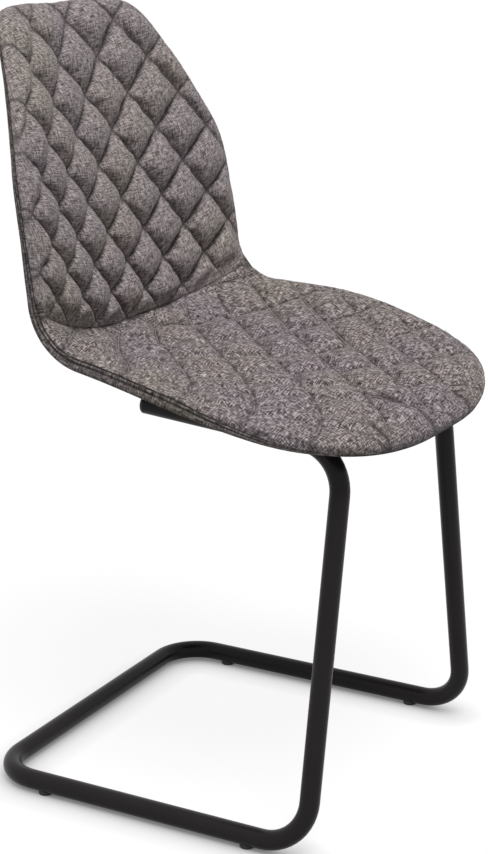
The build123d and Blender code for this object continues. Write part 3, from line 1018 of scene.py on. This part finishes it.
@dataclass
class EdgeBand:
    """The fabric band round the shell's rim: a narrow strip between two seams, then a wider one.

    Its lower edge is tucked under the shell.

    Attributes:
        seam_profile: Rows down the band, each with its shift outwards, its share of the band's height below
        the upper seam, and how much it belongs to a seam, which holds it from wobbling and paints shade on
        it.
        waves: Slow waves along the rim, each with its share, how often it comes round, and where it starts.
    """

    form: ShellForm = ShellForm()
    layers: Layers = Layers()
    spacing: float = 0.004
    soften: float = 0.004
    probe: float = 0.001
    fold_in: float = 0.0046
    tuck: float = 0.0090
    lap: float = 0.0004
    return_in: float = 0.0050
    return_rise: float = 0.0012
    wobble: float = 0.0003
    waves: tuple[tuple[float, int, float], ...] = ((1.0, 23, 0.0), (0.7, 41, 1.0), (0.5, 67, 2.0))
    flange_in: float = 0.0029
    flange_rise: float = 0.0020
    seam_profile: tuple[tuple[float, float, float], ...] = (
        (-0.0026, -0.08, 1.0), (-0.0019, -0.02, 1.0), (-0.0012, 0.03, 0.7), (0.0000, 0.11, 0.0),
        (0.0001, 0.20, 0.0), (-0.0008, 0.30, 0.4), (-0.0019, 0.36, 1.0), (-0.0013, 0.42, 0.5),
        (-0.0006, 0.54, 0.0), (-0.0008, 0.70, 0.0), (-0.0013, 0.85, 0.0), (-0.0026, 0.96, 0.0),
    )

    def build(self, finish: bpy.types.Material) -> bpy.types.Object:
        """Sweeps the band round the rim.

        Args:
            finish: The fabric's material.

        Returns:
            The finished piece.
        """
        line = self.form.whole_edge()
        loop = Loop(line, self.layers.seam(line[:, 1]), self.spacing, self.soften)
        x, v = loop.points.T
        t = self.form.t_at(v)
        middle, up = self.form.middle(x, t), self.form.normal(x, t)
        away = self.form.skin(*(loop.points + loop.out * self.probe).T, np.zeros(len(x))) - middle
        away -= up * (away * up).sum(1, keepdims=True)
        away /= np.linalg.norm(away, axis=1, keepdims=True)
        count = len(x)
        run = np.arange(count) * loop.step
        turns = 2 * math.pi * np.arange(count) / count
        tight = self.layers.drawn_in(v)
        waves = sum(share * np.sin(number * turns + start) for share, number, start in self.waves)
        wave = self.wobble * waves * tight
        low = self.layers.cover_low - self.lap
        drop = loop.depth - low
        # The flange under the panel's roll, painted fully in shade by its seam value of 1.
        profile = [(-self.flange_in * tight, loop.depth + self.flange_rise, 1.0)]
        for out, share, seam in self.seam_profile:
            profile.append((out * tight, loop.depth - share * drop, seam))
        tucked = (
            (self.fold_in, 0.0),
            (self.tuck, 0.0),
            (self.tuck, self.lap),
            (self.return_in, self.return_rise),
        )
        for inset, rise in tucked:
            profile.append((-inset, np.full(count, low + rise), 0.0))
        points, seams, weave = [], [], []
        ran = 0.0
        for k, (out, depth, seam) in enumerate(profile):
            shift = out + wave * (1 - seam)
            points.append(middle + up * depth[:, None] + away * shift[:, None])
            seams.append(np.full(count, seam))
            if k:
                ran += float(np.linalg.norm(points[-1] - points[-2], axis=1).mean())
            weave.append(np.stack([run, np.full(count, ran), np.zeros(count)], -1))
        rows = [list(range(k * count, (k + 1) * count)) for k in range(len(profile))]
        pairs = zip(rows, rows[1:] + rows[:1])
        faces = [face for first, second in pairs for face in bridge(first, second)]
        piece = new_piece("edge_band_wrap", np.concatenate(points), faces)
        # Painted shade: the finish darkens the band by these values along its seams.
        add_values(piece, "seam", np.concatenate(seams))
        add_values(piece, "weave", np.concatenate(weave))
        smooth = piece.modifiers.new("soft", "SUBSURF")
        smooth.levels = smooth.render_levels = 1
        attach(piece, finish)
        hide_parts("edge_band")
        return piece


@dataclass
class CreaseListing:
    """The strip that both panels are sewn to along the crease; it closes the gaps at its ends."""

    form: ShellForm = ShellForm()
    layers: Layers = Layers()
    columns: int = 120
    half_width: float = 0.013
    end_inset: float = 0.0012
    end_lift: float = 0.0066
    end_reach: float = 0.026
    end_less_shade: float = 0.8
    under_gap: float = 0.0001
    upper_gap: float = 0.0004
    side_fall: float = 0.8
    rows: tuple[float, ...] = (-1.0, -0.8, -0.55, -0.3, 0.0, 0.3, 0.55, 0.8, 1.0)

    def build(self, finish: bpy.types.Material) -> bpy.types.Object:
        """Lays the strip along the crease.

        Args:
            finish: The fabric's material.

        Returns:
            The finished piece.
        """
        half = self.form.neck_half - self.end_inset
        x = np.linspace(-half, half, self.columns)
        end = smooth_step((np.abs(x) - half + self.end_reach) / self.end_reach)
        lift = self.end_lift * end * np.sqrt(1 - (1 - end) ** 2)
        points, weave = [], []
        for low in (False, True):
            for share in self.rows:
                v = self.form.crease(x) + share * self.half_width
                arch = lift * math.sqrt(1 - self.side_fall * share * share)
                gap = self.under_gap if low else self.upper_gap + arch
                depth = self.layers.board_top + gap + np.zeros(self.columns)
                points.append(self.form.skin(x, v, depth))
                weave.append(np.stack([x, v, np.zeros(self.columns)], -1))
        count, size = len(self.rows), self.columns
        upper = [[r * size + c for r in range(count)] for c in range(size)]
        lower = [[k + count * size for k in column] for column in upper]
        rings = [column + other[::-1] for column, other in zip(upper, lower)]
        faces = [face for first, second in zip(rings, rings[1:]) for face in bridge(first, second)]
        faces += [tuple(reversed(rings[0])), tuple(rings[-1])]
        piece = new_piece("crease_listing", np.concatenate(points), faces)
        # Painted shade in the crease: these values darken the strip, less so at its ends.
        add_values(piece, "seam", np.tile(1 - self.end_less_shade * end, 2 * count))
        add_values(piece, "weave", np.concatenate(weave))
        attach(piece, finish)
        return piece


@dataclass
class OuterCover:
    """The plain fabric stretched over the shell's outside, from rim to rim."""

    form: ShellForm = ShellForm()
    layers: Layers = Layers()
    grid: Lattice = Lattice(half_x=0.05, half_v=0.05, lean=0.0, x=0.0, v=0.0)
    steps: int = 9
    inset: float = 0.0055
    spacing: float = 0.005
    soften: float = 0.005
    flat_width: float = 0.50
    flat_length: float = 0.80
    flat_area: float = 0.335

    def build(self, finish: bpy.types.Material) -> bpy.types.Object:
        """Cuts and stretches the cover.

        Args:
            finish: The fabric's material.

        Returns:
            The finished piece.
        """
        line = self.form.whole_edge()
        loop = Loop(line, np.zeros(len(line)), self.spacing, self.soften)
        flat = cut_sheet(self.grid, loop.inset(self.inset), self.steps, 0.0)
        count = len(flat.spots)
        points = []
        for depth in (self.layers.cover_top, self.layers.cover_low):
            points.append(self.form.skin(*flat.spots.T, np.full(count, depth)))
        ring = flat.edge()
        faces = list(flat.faces) + [tuple(k + count for k in reversed(face)) for face in flat.faces]
        faces += bridge([k + count for k in ring], ring)
        piece = new_piece("outer_cover_cloth", np.concatenate(points), faces)
        weave = np.column_stack([flat.spots, np.zeros(count)])
        add_values(piece, "weave", np.concatenate([weave, weave]))
        add_values(piece, "seam", np.zeros(2 * count))
        attach(piece, finish)
        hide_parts("outer_cover")
        return piece


class Shader:
    """A material's node tree, with short ways to add and link nodes.

    A Mix node has sockets for every kind of value; the numbers below are those that it mixes colours with.
    """

    MIX_SHARE = 0
    MIX_COLOURS = (6, 7)
    MIX_RESULT = 2

    def __init__(self, tree: bpy.types.NodeTree) -> None:
        """Keeps the tree that nodes go to."""
        self.tree = tree

    def add(self, kind: str, **values: object) -> bpy.types.Node:
        """Adds a node and sets its properties."""
        node = self.tree.nodes.new(kind)
        for name, value in values.items():
            setattr(node, name, value)
        return node

    def put(self, value: object, socket: bpy.types.NodeSocket) -> None:
        """Links a socket to another one, or sets its value."""
        if isinstance(value, bpy.types.NodeSocket):
            self.tree.links.new(value, socket)
        else:
            socket.default_value = value

    def math(self, operation: str, *values: object) -> bpy.types.NodeSocket:
        """Adds a Math node and returns its output."""
        node = self.add("ShaderNodeMath", operation=operation)
        for value, socket in zip(values, node.inputs):
            self.put(value, socket)
        return node.outputs[0]

    def mix(self, share: object, first: object, second: object, blend: str = "MIX") -> bpy.types.NodeSocket:
        """Adds a colour Mix node and returns its output."""
        node = self.add("ShaderNodeMix", data_type="RGBA", blend_type=blend)
        self.put(share, node.inputs[self.MIX_SHARE])
        for colour, number in zip((first, second), self.MIX_COLOURS):
            self.put(colour, node.inputs[number])
        return node.outputs[self.MIX_RESULT]

    def scaled(
        self, vector: object, scale: tuple[float, float, float], shift: float = 0.0
    ) -> bpy.types.NodeSocket:
        """Stretches coordinates along each axis and shifts them."""
        node = self.add("ShaderNodeMapping")
        self.put(vector, node.inputs["Vector"])
        node.inputs["Scale"].default_value = scale
        node.inputs["Location"].default_value = (shift, shift, shift)
        return node.outputs[0]

    def noise(
        self, vector: object, scale: object, detail: float = 2.0, rough: float = 0.5
    ) -> bpy.types.NodeSocket:
        """Adds a Noise texture and returns its value."""
        node = self.add("ShaderNodeTexNoise")
        self.put(vector, node.inputs["Vector"])
        self.put(scale, node.inputs["Scale"])
        node.inputs["Detail"].default_value = detail
        node.inputs["Roughness"].default_value = rough
        return node.outputs[0]

    def range(
        self, value: object, low: float, high: float, start: float = 0.0, end: float = 1.0
    ) -> bpy.types.NodeSocket:
        """Maps a value's range onto another, held at its ends."""
        node = self.add("ShaderNodeMapRange")
        for number, entry in enumerate((value, low, high, start, end)):
            self.put(entry, node.inputs[number])
        return node.outputs[0]

    def bump(self, height: object, strength: float, distance: float, normal: bpy.types.NodeSocket) -> None:
        """Bumps a shader's normal by a height."""
        node = self.add("ShaderNodeBump")
        node.inputs["Strength"].default_value = strength
        node.inputs["Distance"].default_value = distance
        self.put(height, node.inputs["Height"])
        self.put(node.outputs[0], normal)

    def seen(self) -> bpy.types.NodeSocket:
        """1 for rays from the camera, and for those seen in metal or glass."""
        path = self.add("ShaderNodeLightPath").outputs
        seen = self.math("MAXIMUM", path["Is Camera Ray"], path["Is Glossy Ray"])
        return self.math("MAXIMUM", seen, path["Is Transmission Ray"])


def new_group(
    name: str, inputs: dict[str, str], outputs: dict[str, str]
) -> tuple[Shader, Sockets, Sockets]:
    """Starts a shader node group.

    Args:
        name: The group's name.
        inputs: Input names and their socket types.
        outputs: Output names and their socket types.

    Returns:
        The group's tree, its input sockets and its output sockets.
    """
    tree = bpy.data.node_groups.new(name, "ShaderNodeTree")
    for label, kind in inputs.items():
        tree.interface.new_socket(label, in_out="INPUT", socket_type=f"NodeSocket{kind}")
    for label, kind in outputs.items():
        tree.interface.new_socket(label, in_out="OUTPUT", socket_type=f"NodeSocket{kind}")
    shader = Shader(tree)
    start, end = shader.add("NodeGroupInput"), shader.add("NodeGroupOutput")
    return shader, dict(start.outputs.items()), dict(end.inputs.items())


@dataclass(frozen=True)
class MelangeWeave:
    """A linen-look weave of mixed light and dark yarns, as a node group.

    Attributes:
        across_yarn: How finely the colour changes across a yarn, per metre.
        along_yarn: How finely it changes along one.
        warp_shift: Where the warp's colours start.
        weft_shift: Where the weft's do.
        yarn_rough: How ragged the colours are.
        yarn_pitch: Distance between yarns.
        crossing: Half the width of the change from warp to weft.
        even_share: Share of both yarns together in a fleck.
        flecks: The fleck values that are all dark and all light.
        mottle_scale: How fine the mottling is, per metre.
        patch_scale: How fine the worn, warmer patches are.
        patches: Where they begin and are full.
        patch_most: How strong they are.
        round_share: Share of the yarns' roundness in the height.
        rough: Roughness of the dark yarns and of the light ones.
    """

    across_yarn: float = 640.0
    along_yarn: float = 130.0
    warp_shift: float = 3.0
    weft_shift: float = 11.0
    yarn_rough: float = 0.6
    yarn_pitch: float = 0.0009
    crossing: float = 0.3
    even_share: float = 0.35
    flecks: tuple[float, float] = (0.36, 0.65)
    mottle_scale: float = 110.0
    patch_scale: float = 7.0
    patches: tuple[float, float] = (0.42, 0.68)
    patch_most: float = 0.75
    round_share: float = 0.45
    rough: tuple[float, float] = (0.95, 0.82)

    def make(self) -> bpy.types.NodeTree:
        """Builds the group."""
        colours = {label: "Color" for label in ("Dark", "Mid", "Light", "Warm")}
        shader, given, made = new_group(
            "melange_weave",
            {"Vector": "Vector", **colours, "Mottle": "Float"},
            {"Color": "Color", "Height": "Float", "Roughness": "Float"},
        )
        vector = given["Vector"]
        fine, coarse = self.across_yarn, self.along_yarn
        warp_place = shader.scaled(vector, (fine, coarse, 1.0), self.warp_shift)
        warp = shader.noise(warp_place, 1.0, 1.0, self.yarn_rough)
        weft_place = shader.scaled(vector, (coarse, fine, 1.0), self.weft_shift)
        weft = shader.noise(weft_place, 1.0, 1.0, self.yarn_rough)
        split = shader.add("ShaderNodeSeparateXYZ")
        shader.put(vector, split.inputs[0])
        turn = math.pi / self.yarn_pitch
        across, along = (
            shader.math("SINE", shader.math("MULTIPLY", split.outputs[number], turn)) for number in (0, 1)
        )
        over = shader.range(shader.math("MULTIPLY", across, along), -self.crossing, self.crossing)
        crossed = shader.mix(over, warp, weft)
        even = shader.math("MULTIPLY", shader.math("ADD", warp, weft), 0.5)
        cloud = shader.math("SUBTRACT", shader.noise(vector, self.mottle_scale, 1.0), 0.5)
        mottle = shader.math("MULTIPLY", cloud, given["Mottle"])
        fleck = shader.math("ADD", shader.mix(self.even_share, crossed, even), mottle)
        light = shader.range(fleck, *self.flecks)
        ramp = shader.mix(shader.range(light, 0.0, 0.5), given["Dark"], given["Mid"])
        ramp = shader.mix(shader.range(light, 0.5, 1.0), ramp, given["Light"])
        patch = shader.range(shader.noise(vector, self.patch_scale), *self.patches, 0.0, self.patch_most)
        shader.put(shader.mix(patch, ramp, given["Warm"], "SOFT_LIGHT"), made["Color"])
        yarns = (shader.math("ABSOLUTE", wave) for wave in (across, along))
        yarn_height = shader.math("MULTIPLY", shader.math("MAXIMUM", *yarns), self.round_share)
        fleck_height = shader.math("MULTIPLY", light, 1 - self.round_share)
        shader.put(shader.math("ADD", yarn_height, fleck_height), made["Height"])
        shader.put(shader.range(light, 0.0, 1.0, *self.rough), made["Roughness"])
        return shader.tree


@dataclass(frozen=True)
class FineGrain:
    """A fine grain as a node group: orange peel on powder coat, spark marks on plastic, and faint smears."""

    smear_scale: float = 9.0
    smear_detail: float = 4.0
    smear_rough: float = 0.6
    smears: tuple[float, float] = (0.35, 0.75)

    def make(self) -> bpy.types.NodeTree:
        """Builds the group."""
        shader, given, made = new_group(
            "fine_grain",
            {"Scale": "Float", "Base": "Float", "Spread": "Float"},
            {"Height": "Float", "Roughness": "Float", "Mask": "Float"},
        )
        place = shader.add("ShaderNodeTexCoord").outputs["Object"]
        shader.put(shader.noise(place, given["Scale"]), made["Height"])
        smear = shader.noise(place, self.smear_scale, self.smear_detail, self.smear_rough)
        shift = shader.math("MULTIPLY", shader.math("SUBTRACT", smear, 0.5), given["Spread"])
        shader.put(shader.math("ADD", given["Base"], shift), made["Roughness"])
        shader.put(shader.range(smear, *self.smears), made["Mask"])
        return shader.tree


def new_material(name: str) -> tuple[bpy.types.Material, Shader, bpy.types.NodeInputs]:
    """Starts a material.

    Args:
        name: The finish's name.

    Returns:
        The material, its tree, and the inputs of its Principled shader.
    """
    material = bpy.data.materials.new(name)
    material.use_nodes = True
    return material, Shader(material.node_tree), material.node_tree.nodes["Principled BSDF"].inputs


@dataclass(frozen=True)
class WovenFinish:
    """A melange upholstery fabric, darkened by painted shade along its seams, pleats and crease."""

    name: str
    # Lighter tones than the seat's copy: they carry a painted lift in light on the back, and also serve the
    # outer cover.
    dark: Colour = (0.078, 0.065, 0.067, 1.0)
    mid: Colour = (0.258, 0.221, 0.229, 1.0)
    light: Colour = (0.545, 0.478, 0.490, 1.0)
    warm: Colour = (0.58, 0.60, 0.46, 1.0)
    mottle: float = 0.0
    seam_shade_paint: float = 0.85
    sheen: float = 0.12
    sheen_rough: float = 0.4
    specular: float = 0.2
    bump: float = 0.6
    yarn_depth: float = 0.0006

    def make(self, weave: bpy.types.NodeTree) -> bpy.types.Material:
        """Builds the material around the weave group."""
        material, shader, inputs = new_material(self.name)
        cloth = shader.add("ShaderNodeGroup", node_tree=weave)
        place = shader.add("ShaderNodeAttribute", attribute_name="weave")
        shader.put(place.outputs["Vector"], cloth.inputs["Vector"])
        for label in ("dark", "mid", "light", "warm", "mottle"):
            cloth.inputs[label.title()].default_value = getattr(self, label)
        # Painted shade: the fabric is mixed towards its dark yarn colour by the seam values.
        seam = shader.add("ShaderNodeAttribute", attribute_name="seam").outputs["Fac"]
        shade = shader.math("MULTIPLY", seam, self.seam_shade_paint)
        shader.put(shader.mix(shade, cloth.outputs["Color"], self.dark), inputs["Base Color"])
        shader.put(cloth.outputs["Roughness"], inputs["Roughness"])
        shader.bump(cloth.outputs["Height"], self.bump, self.yarn_depth, inputs["Normal"])
        inputs["Sheen Weight"].default_value = self.sheen
        inputs["Sheen Roughness"].default_value = self.sheen_rough
        inputs["Specular IOR Level"].default_value = self.specular
        return material


@dataclass(frozen=True)
class ThreadFinish:
    """Twisted sewing thread."""

    name: str
    colour: Colour
    shade: Colour
    twist_scale: float = 1800.0
    twists: tuple[float, float] = (0.35, 0.65)
    rough: tuple[float, float] = (0.75, 0.55)
    bump: float = 0.5
    twist_depth: float = 0.0002

    def make(self) -> bpy.types.Material:
        """Builds the material, with its twist as fine flecks."""
        material, shader, inputs = new_material(self.name)
        place = shader.add("ShaderNodeTexCoord").outputs["Object"]
        twist = shader.noise(place, self.twist_scale, 1.0)
        strand = shader.range(twist, *self.twists)
        shader.put(shader.mix(strand, self.shade, self.colour), inputs["Base Color"])
        shader.put(shader.range(twist, 0.0, 1.0, *self.rough), inputs["Roughness"])
        shader.bump(twist, self.bump, self.twist_depth, inputs["Normal"])
        return material


@dataclass(frozen=True)
class PlywoodFinish:
    """Moulded plywood: long grain with darker plies."""

    name: str = "moulded_plywood"
    light: Colour = (0.62, 0.45, 0.28, 1.0)
    dark: Colour = (0.40, 0.26, 0.14, 1.0)
    grain_scale: tuple[float, float, float] = (260.0, 12.0, 12.0)
    grain_detail: float = 5.0
    grain_rough: float = 0.6
    grains: tuple[float, float] = (0.35, 0.7)
    rough: tuple[float, float] = (0.65, 0.5)
    bump: float = 0.2
    grain_depth: float = 0.0004

    def make(self) -> bpy.types.Material:
        """Builds the material."""
        material, shader, inputs = new_material(self.name)
        place = shader.add("ShaderNodeTexCoord").outputs["Object"]
        stretched = shader.scaled(place, self.grain_scale)
        grain = shader.noise(stretched, 1.0, self.grain_detail, self.grain_rough)
        ply = shader.range(grain, *self.grains)
        shader.put(shader.mix(ply, self.light, self.dark), inputs["Base Color"])
        shader.put(shader.range(grain, 0.0, 1.0, *self.rough), inputs["Roughness"])
        shader.bump(grain, self.bump, self.grain_depth, inputs["Normal"])
        return material


@dataclass(frozen=True)
class GrainedFinish:
    """A hard finish with a fine grain: powder coat, moulded plastic, rubber or plated steel."""

    name: str
    colour: Colour
    worn: Colour
    roughness: float
    spread: float = 0.12
    scale: float = 1400.0
    bump: float = 0.08
    grain_depth: float = 0.0003
    metallic: float = 0.0
    specular: float = 0.5

    def make(self, grain: bpy.types.NodeTree) -> bpy.types.Material:
        """Builds the material around the grain group."""
        material, shader, inputs = new_material(self.name)
        group = shader.add("ShaderNodeGroup", node_tree=grain)
        group.inputs["Scale"].default_value = self.scale
        group.inputs["Base"].default_value = self.roughness
        group.inputs["Spread"].default_value = self.spread
        shader.put(shader.mix(group.outputs["Mask"], self.colour, self.worn), inputs["Base Color"])
        shader.put(group.outputs["Roughness"], inputs["Roughness"])
        shader.bump(group.outputs["Height"], self.bump, self.grain_depth, inputs["Normal"])
        inputs["Metallic"].default_value = self.metallic
        inputs["Specular IOR Level"].default_value = self.specular
        return material


@dataclass
class SledBase:
    """The bent tube with its plates, plugs, glides and fixings, which keep the solids' own shapes."""

    coat: GrainedFinish = GrainedFinish(
        "black_powder_coat",
        colour=(0.0125, 0.0098, 0.0104, 1.0),
        worn=(0.0165, 0.0132, 0.0140, 1.0),
        roughness=0.30,
        specular=0.14,
    )
    plastic: GrainedFinish = GrainedFinish(
        "black_plastic",
        colour=(0.010, 0.010, 0.010, 1.0),
        worn=(0.014, 0.014, 0.013, 1.0),
        roughness=0.55,
        scale=900.0,
    )
    rubber: GrainedFinish = GrainedFinish(
        "black_rubber",
        colour=(0.012, 0.012, 0.012, 1.0),
        worn=(0.020, 0.019, 0.018, 1.0),
        roughness=0.8,
        scale=500.0,
    )
    zinc: GrainedFinish = GrainedFinish(
        "zinc_plate",
        colour=(0.50, 0.51, 0.52, 1.0),
        worn=(0.40, 0.40, 0.41, 1.0),
        roughness=0.32,
        scale=700.0,
        metallic=1.0,
    )

    def dress(self, grain: bpy.types.NodeTree) -> None:
        """Gives the base's nodes their finishes."""
        nodes = {
            self.coat: ("frame_tube", "front_cross_plate", "rear_cross_plate"),
            self.plastic: ("near_rail_plug", "far_rail_plug", "floor_glides"),
            self.rubber: ("spacer_pads",),
            self.zinc: ("seat_screws", "washers", "tee_nuts"),
        }
        for finish, names in nodes.items():
            material = finish.make(grain)
            for name in names:
                dress_node(name, material)


def dress_node(name: str, material: bpy.types.Material) -> None:
    """Gives a CAD node a finish, and smooth shading but at its sharp edges."""
    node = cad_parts[name]
    node.data.materials.clear()
    node.data.materials.append(material)
    node.data.set_sharp_from_angle(angle=SMOOTH_ANGLE)
    LOG.info("%s: %s", name, material.name)


@dataclass
class Upholstery:
    """The shell's soft pieces, sewn from one melange fabric.

    Attributes:
        quilt_start: Distance of the seat's first crossing of seams from its rear.
        nose_pleats: Lines of the pleats round the nose, across and ahead of the seat's rear.
    """

    form: ShellForm = ShellForm()
    quilt_start: float = 0.0108
    nose_pleats: tuple[tuple[tuple[float, float], ...], ...] = (
        ((-0.033, 0.266), (-0.022, 0.285), (-0.017, 0.310), (-0.020, 0.336), (-0.030, 0.372)),
        ((-0.112, 0.312), (-0.114, 0.326), (-0.115, 0.346), (-0.117, 0.372)),
        ((0.076, 0.328), (0.073, 0.343), (0.070, 0.355), (0.062, 0.372)),
    )

    def panels(self) -> list[QuiltedPanel]:
        """The two quilted panels."""
        seat_start = self.form.back_len + self.form.bend_r * self.form.bend
        back = QuiltedPanel(
            panel=Panel.BACK,
            lattice=Lattice(
                half_x=0.0417,
                half_v=0.0462,
                lean=math.radians(7.0),
                x=0.0533,
                v=-0.0172,
                narrow=-0.00061,
                droop=0.00145,
                close=-0.00077,
            ),
            crown=0.013,
            sag=0.25,
            groove=0.0008,
            # Painted shade in the back's seam grooves, at full strength.
            painted_seam_dark=1.0,
            stands_for=("quilted_back", "back_foam"),
            fill=0.7,
        )
        seat = QuiltedPanel(
            panel=Panel.SEAT,
            lattice=Lattice(
                half_x=0.0404,
                half_v=0.0414,
                lean=0.0,
                x=0.0,
                v=seat_start + self.quilt_start,
                droop=-0.003,
            ),
            crown=0.0110,
            sag=0.1,
            groove=0.0010,
            # Painted shade in the seat's seam grooves, a little lighter.
            painted_seam_dark=0.78,
            stands_for=("quilted_seat", "seat_foam"),
            fill=0.8,
            pleats=tuple(
                Pleat(tuple((x, seat_start + ahead) for x, ahead in line)) for line in self.nose_pleats
            ),
            nose_roll=1.2,
            fade=0.030,
            steps=24,
        )
        return [back, seat]

    def build(self, weave: bpy.types.NodeTree) -> None:
        """Makes and dresses every soft piece."""
        # The back's copy is lighter than the seat's: painted light where the lamp reaches the back less,
        # with lower contrast for its weave.
        back = WovenFinish("grey_melange_back_painted_light").make(weave)
        seat = WovenFinish(
            "grey_melange_seat",
            dark=(0.032, 0.024, 0.027, 1.0),
            mid=(0.176, 0.147, 0.155, 1.0),
            light=(0.600, 0.525, 0.545, 1.0),
            mottle=0.12,
        ).make(weave)
        # A darker copy of the same fabric for the band and the crease strip: painted shade for their
        # undercut, shaded places.
        band = WovenFinish(
            "grey_melange_band_shaded",
            dark=(0.024, 0.019, 0.020, 1.0),
            mid=(0.115, 0.098, 0.102, 1.0),
            light=(0.33, 0.295, 0.30, 1.0),
        ).make(weave)
        outer = WovenFinish("grey_melange_outer", seam_shade_paint=0.0).make(weave)
        # The back's thread is a darker copy of the seat's pale one: painted shade in the back's deep seams.
        shaded_thread = ThreadFinish("shaded_thread", (0.15, 0.13, 0.13, 1.0), (0.08, 0.07, 0.07, 1.0)).make()
        pale_thread = ThreadFinish("pale_thread", (0.55, 0.50, 0.50, 1.0), (0.34, 0.31, 0.31, 1.0)).make()
        pieces = []
        for panel, fabric, thread in zip(self.panels(), (back, seat), (shaded_thread, pale_thread)):
            pieces += [panel.build(fabric), panel.stitch(thread)]
        pieces += [EdgeBand().build(band), CreaseListing().build(band), OuterCover().build(outer)]
        for piece in pieces:
            LOG.info("%s: %d faces", piece.name, len(piece.data.polygons))


@dataclass
class Studio:
    """Plain pale floor, soft light, and a camera at the photograph's angle.

    Attributes:
        floor_white: How much light the floor sends back up at the chair.
        floor_seen: How strongly the camera sees light and shadow on it.
        floor_lift: How much the camera's view of it is lifted towards white, by a glow that carries the
            painted contact shadow.
        painted_shadow_reach: How near a thing has to be to the floor to darken the floor's glow with painted
            contact shadow.
    """

    camera_at: tuple[float, float, float] = (-1.94471, -1.07623, 1.06199)
    azimuth: float = math.radians(-61.21)
    elevation: float = math.radians(16.66)
    focal_px: float = 2043.74
    long_side_px: int = 854
    sensor: float = 36.0
    floor_half: float = 14.0
    floor_white: float = 0.35
    floor_seen: float = 0.11
    floor_lift: float = 0.91
    painted_shadow_reach: float = 0.042
    floor_rough: float = 0.9
    key_from: tuple[float, float, float] = (-0.32, -0.30, 1.0)
    key_spread: float = math.radians(22.0)
    key_power: float = 2.7
    fill: float = 0.25

    def camera(self) -> None:
        """Stands the camera where the photograph was taken from."""
        data = bpy.data.cameras.new("camera")
        data.sensor_width = self.sensor
        data.lens = self.focal_px * self.sensor / self.long_side_px
        camera = bpy.data.objects.new("camera", data)
        bpy.context.scene.collection.objects.link(camera)
        a, e = self.azimuth, self.elevation
        back = Vector((math.sin(a) * math.cos(e), -math.cos(a) * math.cos(e), math.sin(e)))
        camera.location = self.camera_at
        camera.rotation_euler = (-back).to_track_quat("-Z", "Y").to_euler()
        bpy.context.scene.camera = camera

    def floor(self) -> None:
        """Lays a pale floor, which the camera sees as white with the chair's shadow on it, and with a
        painted contact shadow in its glow near the chair.
        """
        h = self.floor_half
        corners = np.array([(-h, -h, 0), (h, -h, 0), (h, h, 0), (-h, h, 0)], float)
        floor = new_piece("floor", corners, [(0, 1, 2, 3)])
        material, shader, inputs = new_material("pale_floor")
        inputs["Roughness"].default_value = self.floor_rough
        inputs["Specular IOR Level"].default_value = 0.0
        seen = shader.seen()
        lit, shown = ((white, white, white, 1.0) for white in (self.floor_white, self.floor_seen))
        shader.put(shader.mix(seen, lit, shown), inputs["Base Color"])
        # Painted contact shadow: the floor's glow for the camera is darkened by ambient occlusion near the
        # chair.
        near = shader.add("ShaderNodeAmbientOcclusion")
        near.inputs["Distance"].default_value = self.painted_shadow_reach
        shader.put(near.outputs["Color"], inputs["Emission Color"])
        shader.put(shader.math("MULTIPLY", seen, self.floor_lift), inputs["Emission Strength"])
        floor.data.materials.append(material)

    def light(self) -> None:
        """Lights the chair from above and in front, with even light all round."""
        lamp = bpy.data.lights.new("key", "SUN")
        lamp.angle = self.key_spread
        lamp.energy = self.key_power
        key = bpy.data.objects.new("key", lamp)
        bpy.context.scene.collection.objects.link(key)
        key.rotation_euler = (-Vector(self.key_from)).to_track_quat("-Z", "Y").to_euler()
        world = bpy.data.worlds.new("studio")
        bpy.context.scene.world = world
        world.use_nodes = True
        shader = Shader(world.node_tree)
        inputs = world.node_tree.nodes["Background"].inputs
        inputs["Color"].default_value = (1.0, 1.0, 1.0, 1.0)
        shader.put(shader.range(shader.seen(), 0.0, 1.0, self.fill, 1.0), inputs["Strength"])

    def build(self) -> None:
        """Sets up floor, light, camera and plain colours."""
        self.floor()
        self.light()
        self.camera()
        bpy.context.scene.view_settings.view_transform = "Standard"


def main() -> None:
    """Builds the chair's soft pieces, dresses every node and lights the scene."""
    logging.basicConfig(level=logging.INFO)
    weave, grain = MelangeWeave().make(), FineGrain().make()
    Upholstery().build(weave)
    SledBase().dress(grain)
    dress_node("shell_board", PlywoodFinish().make())
    Studio().build()


if __name__ == "__main__":
    main()
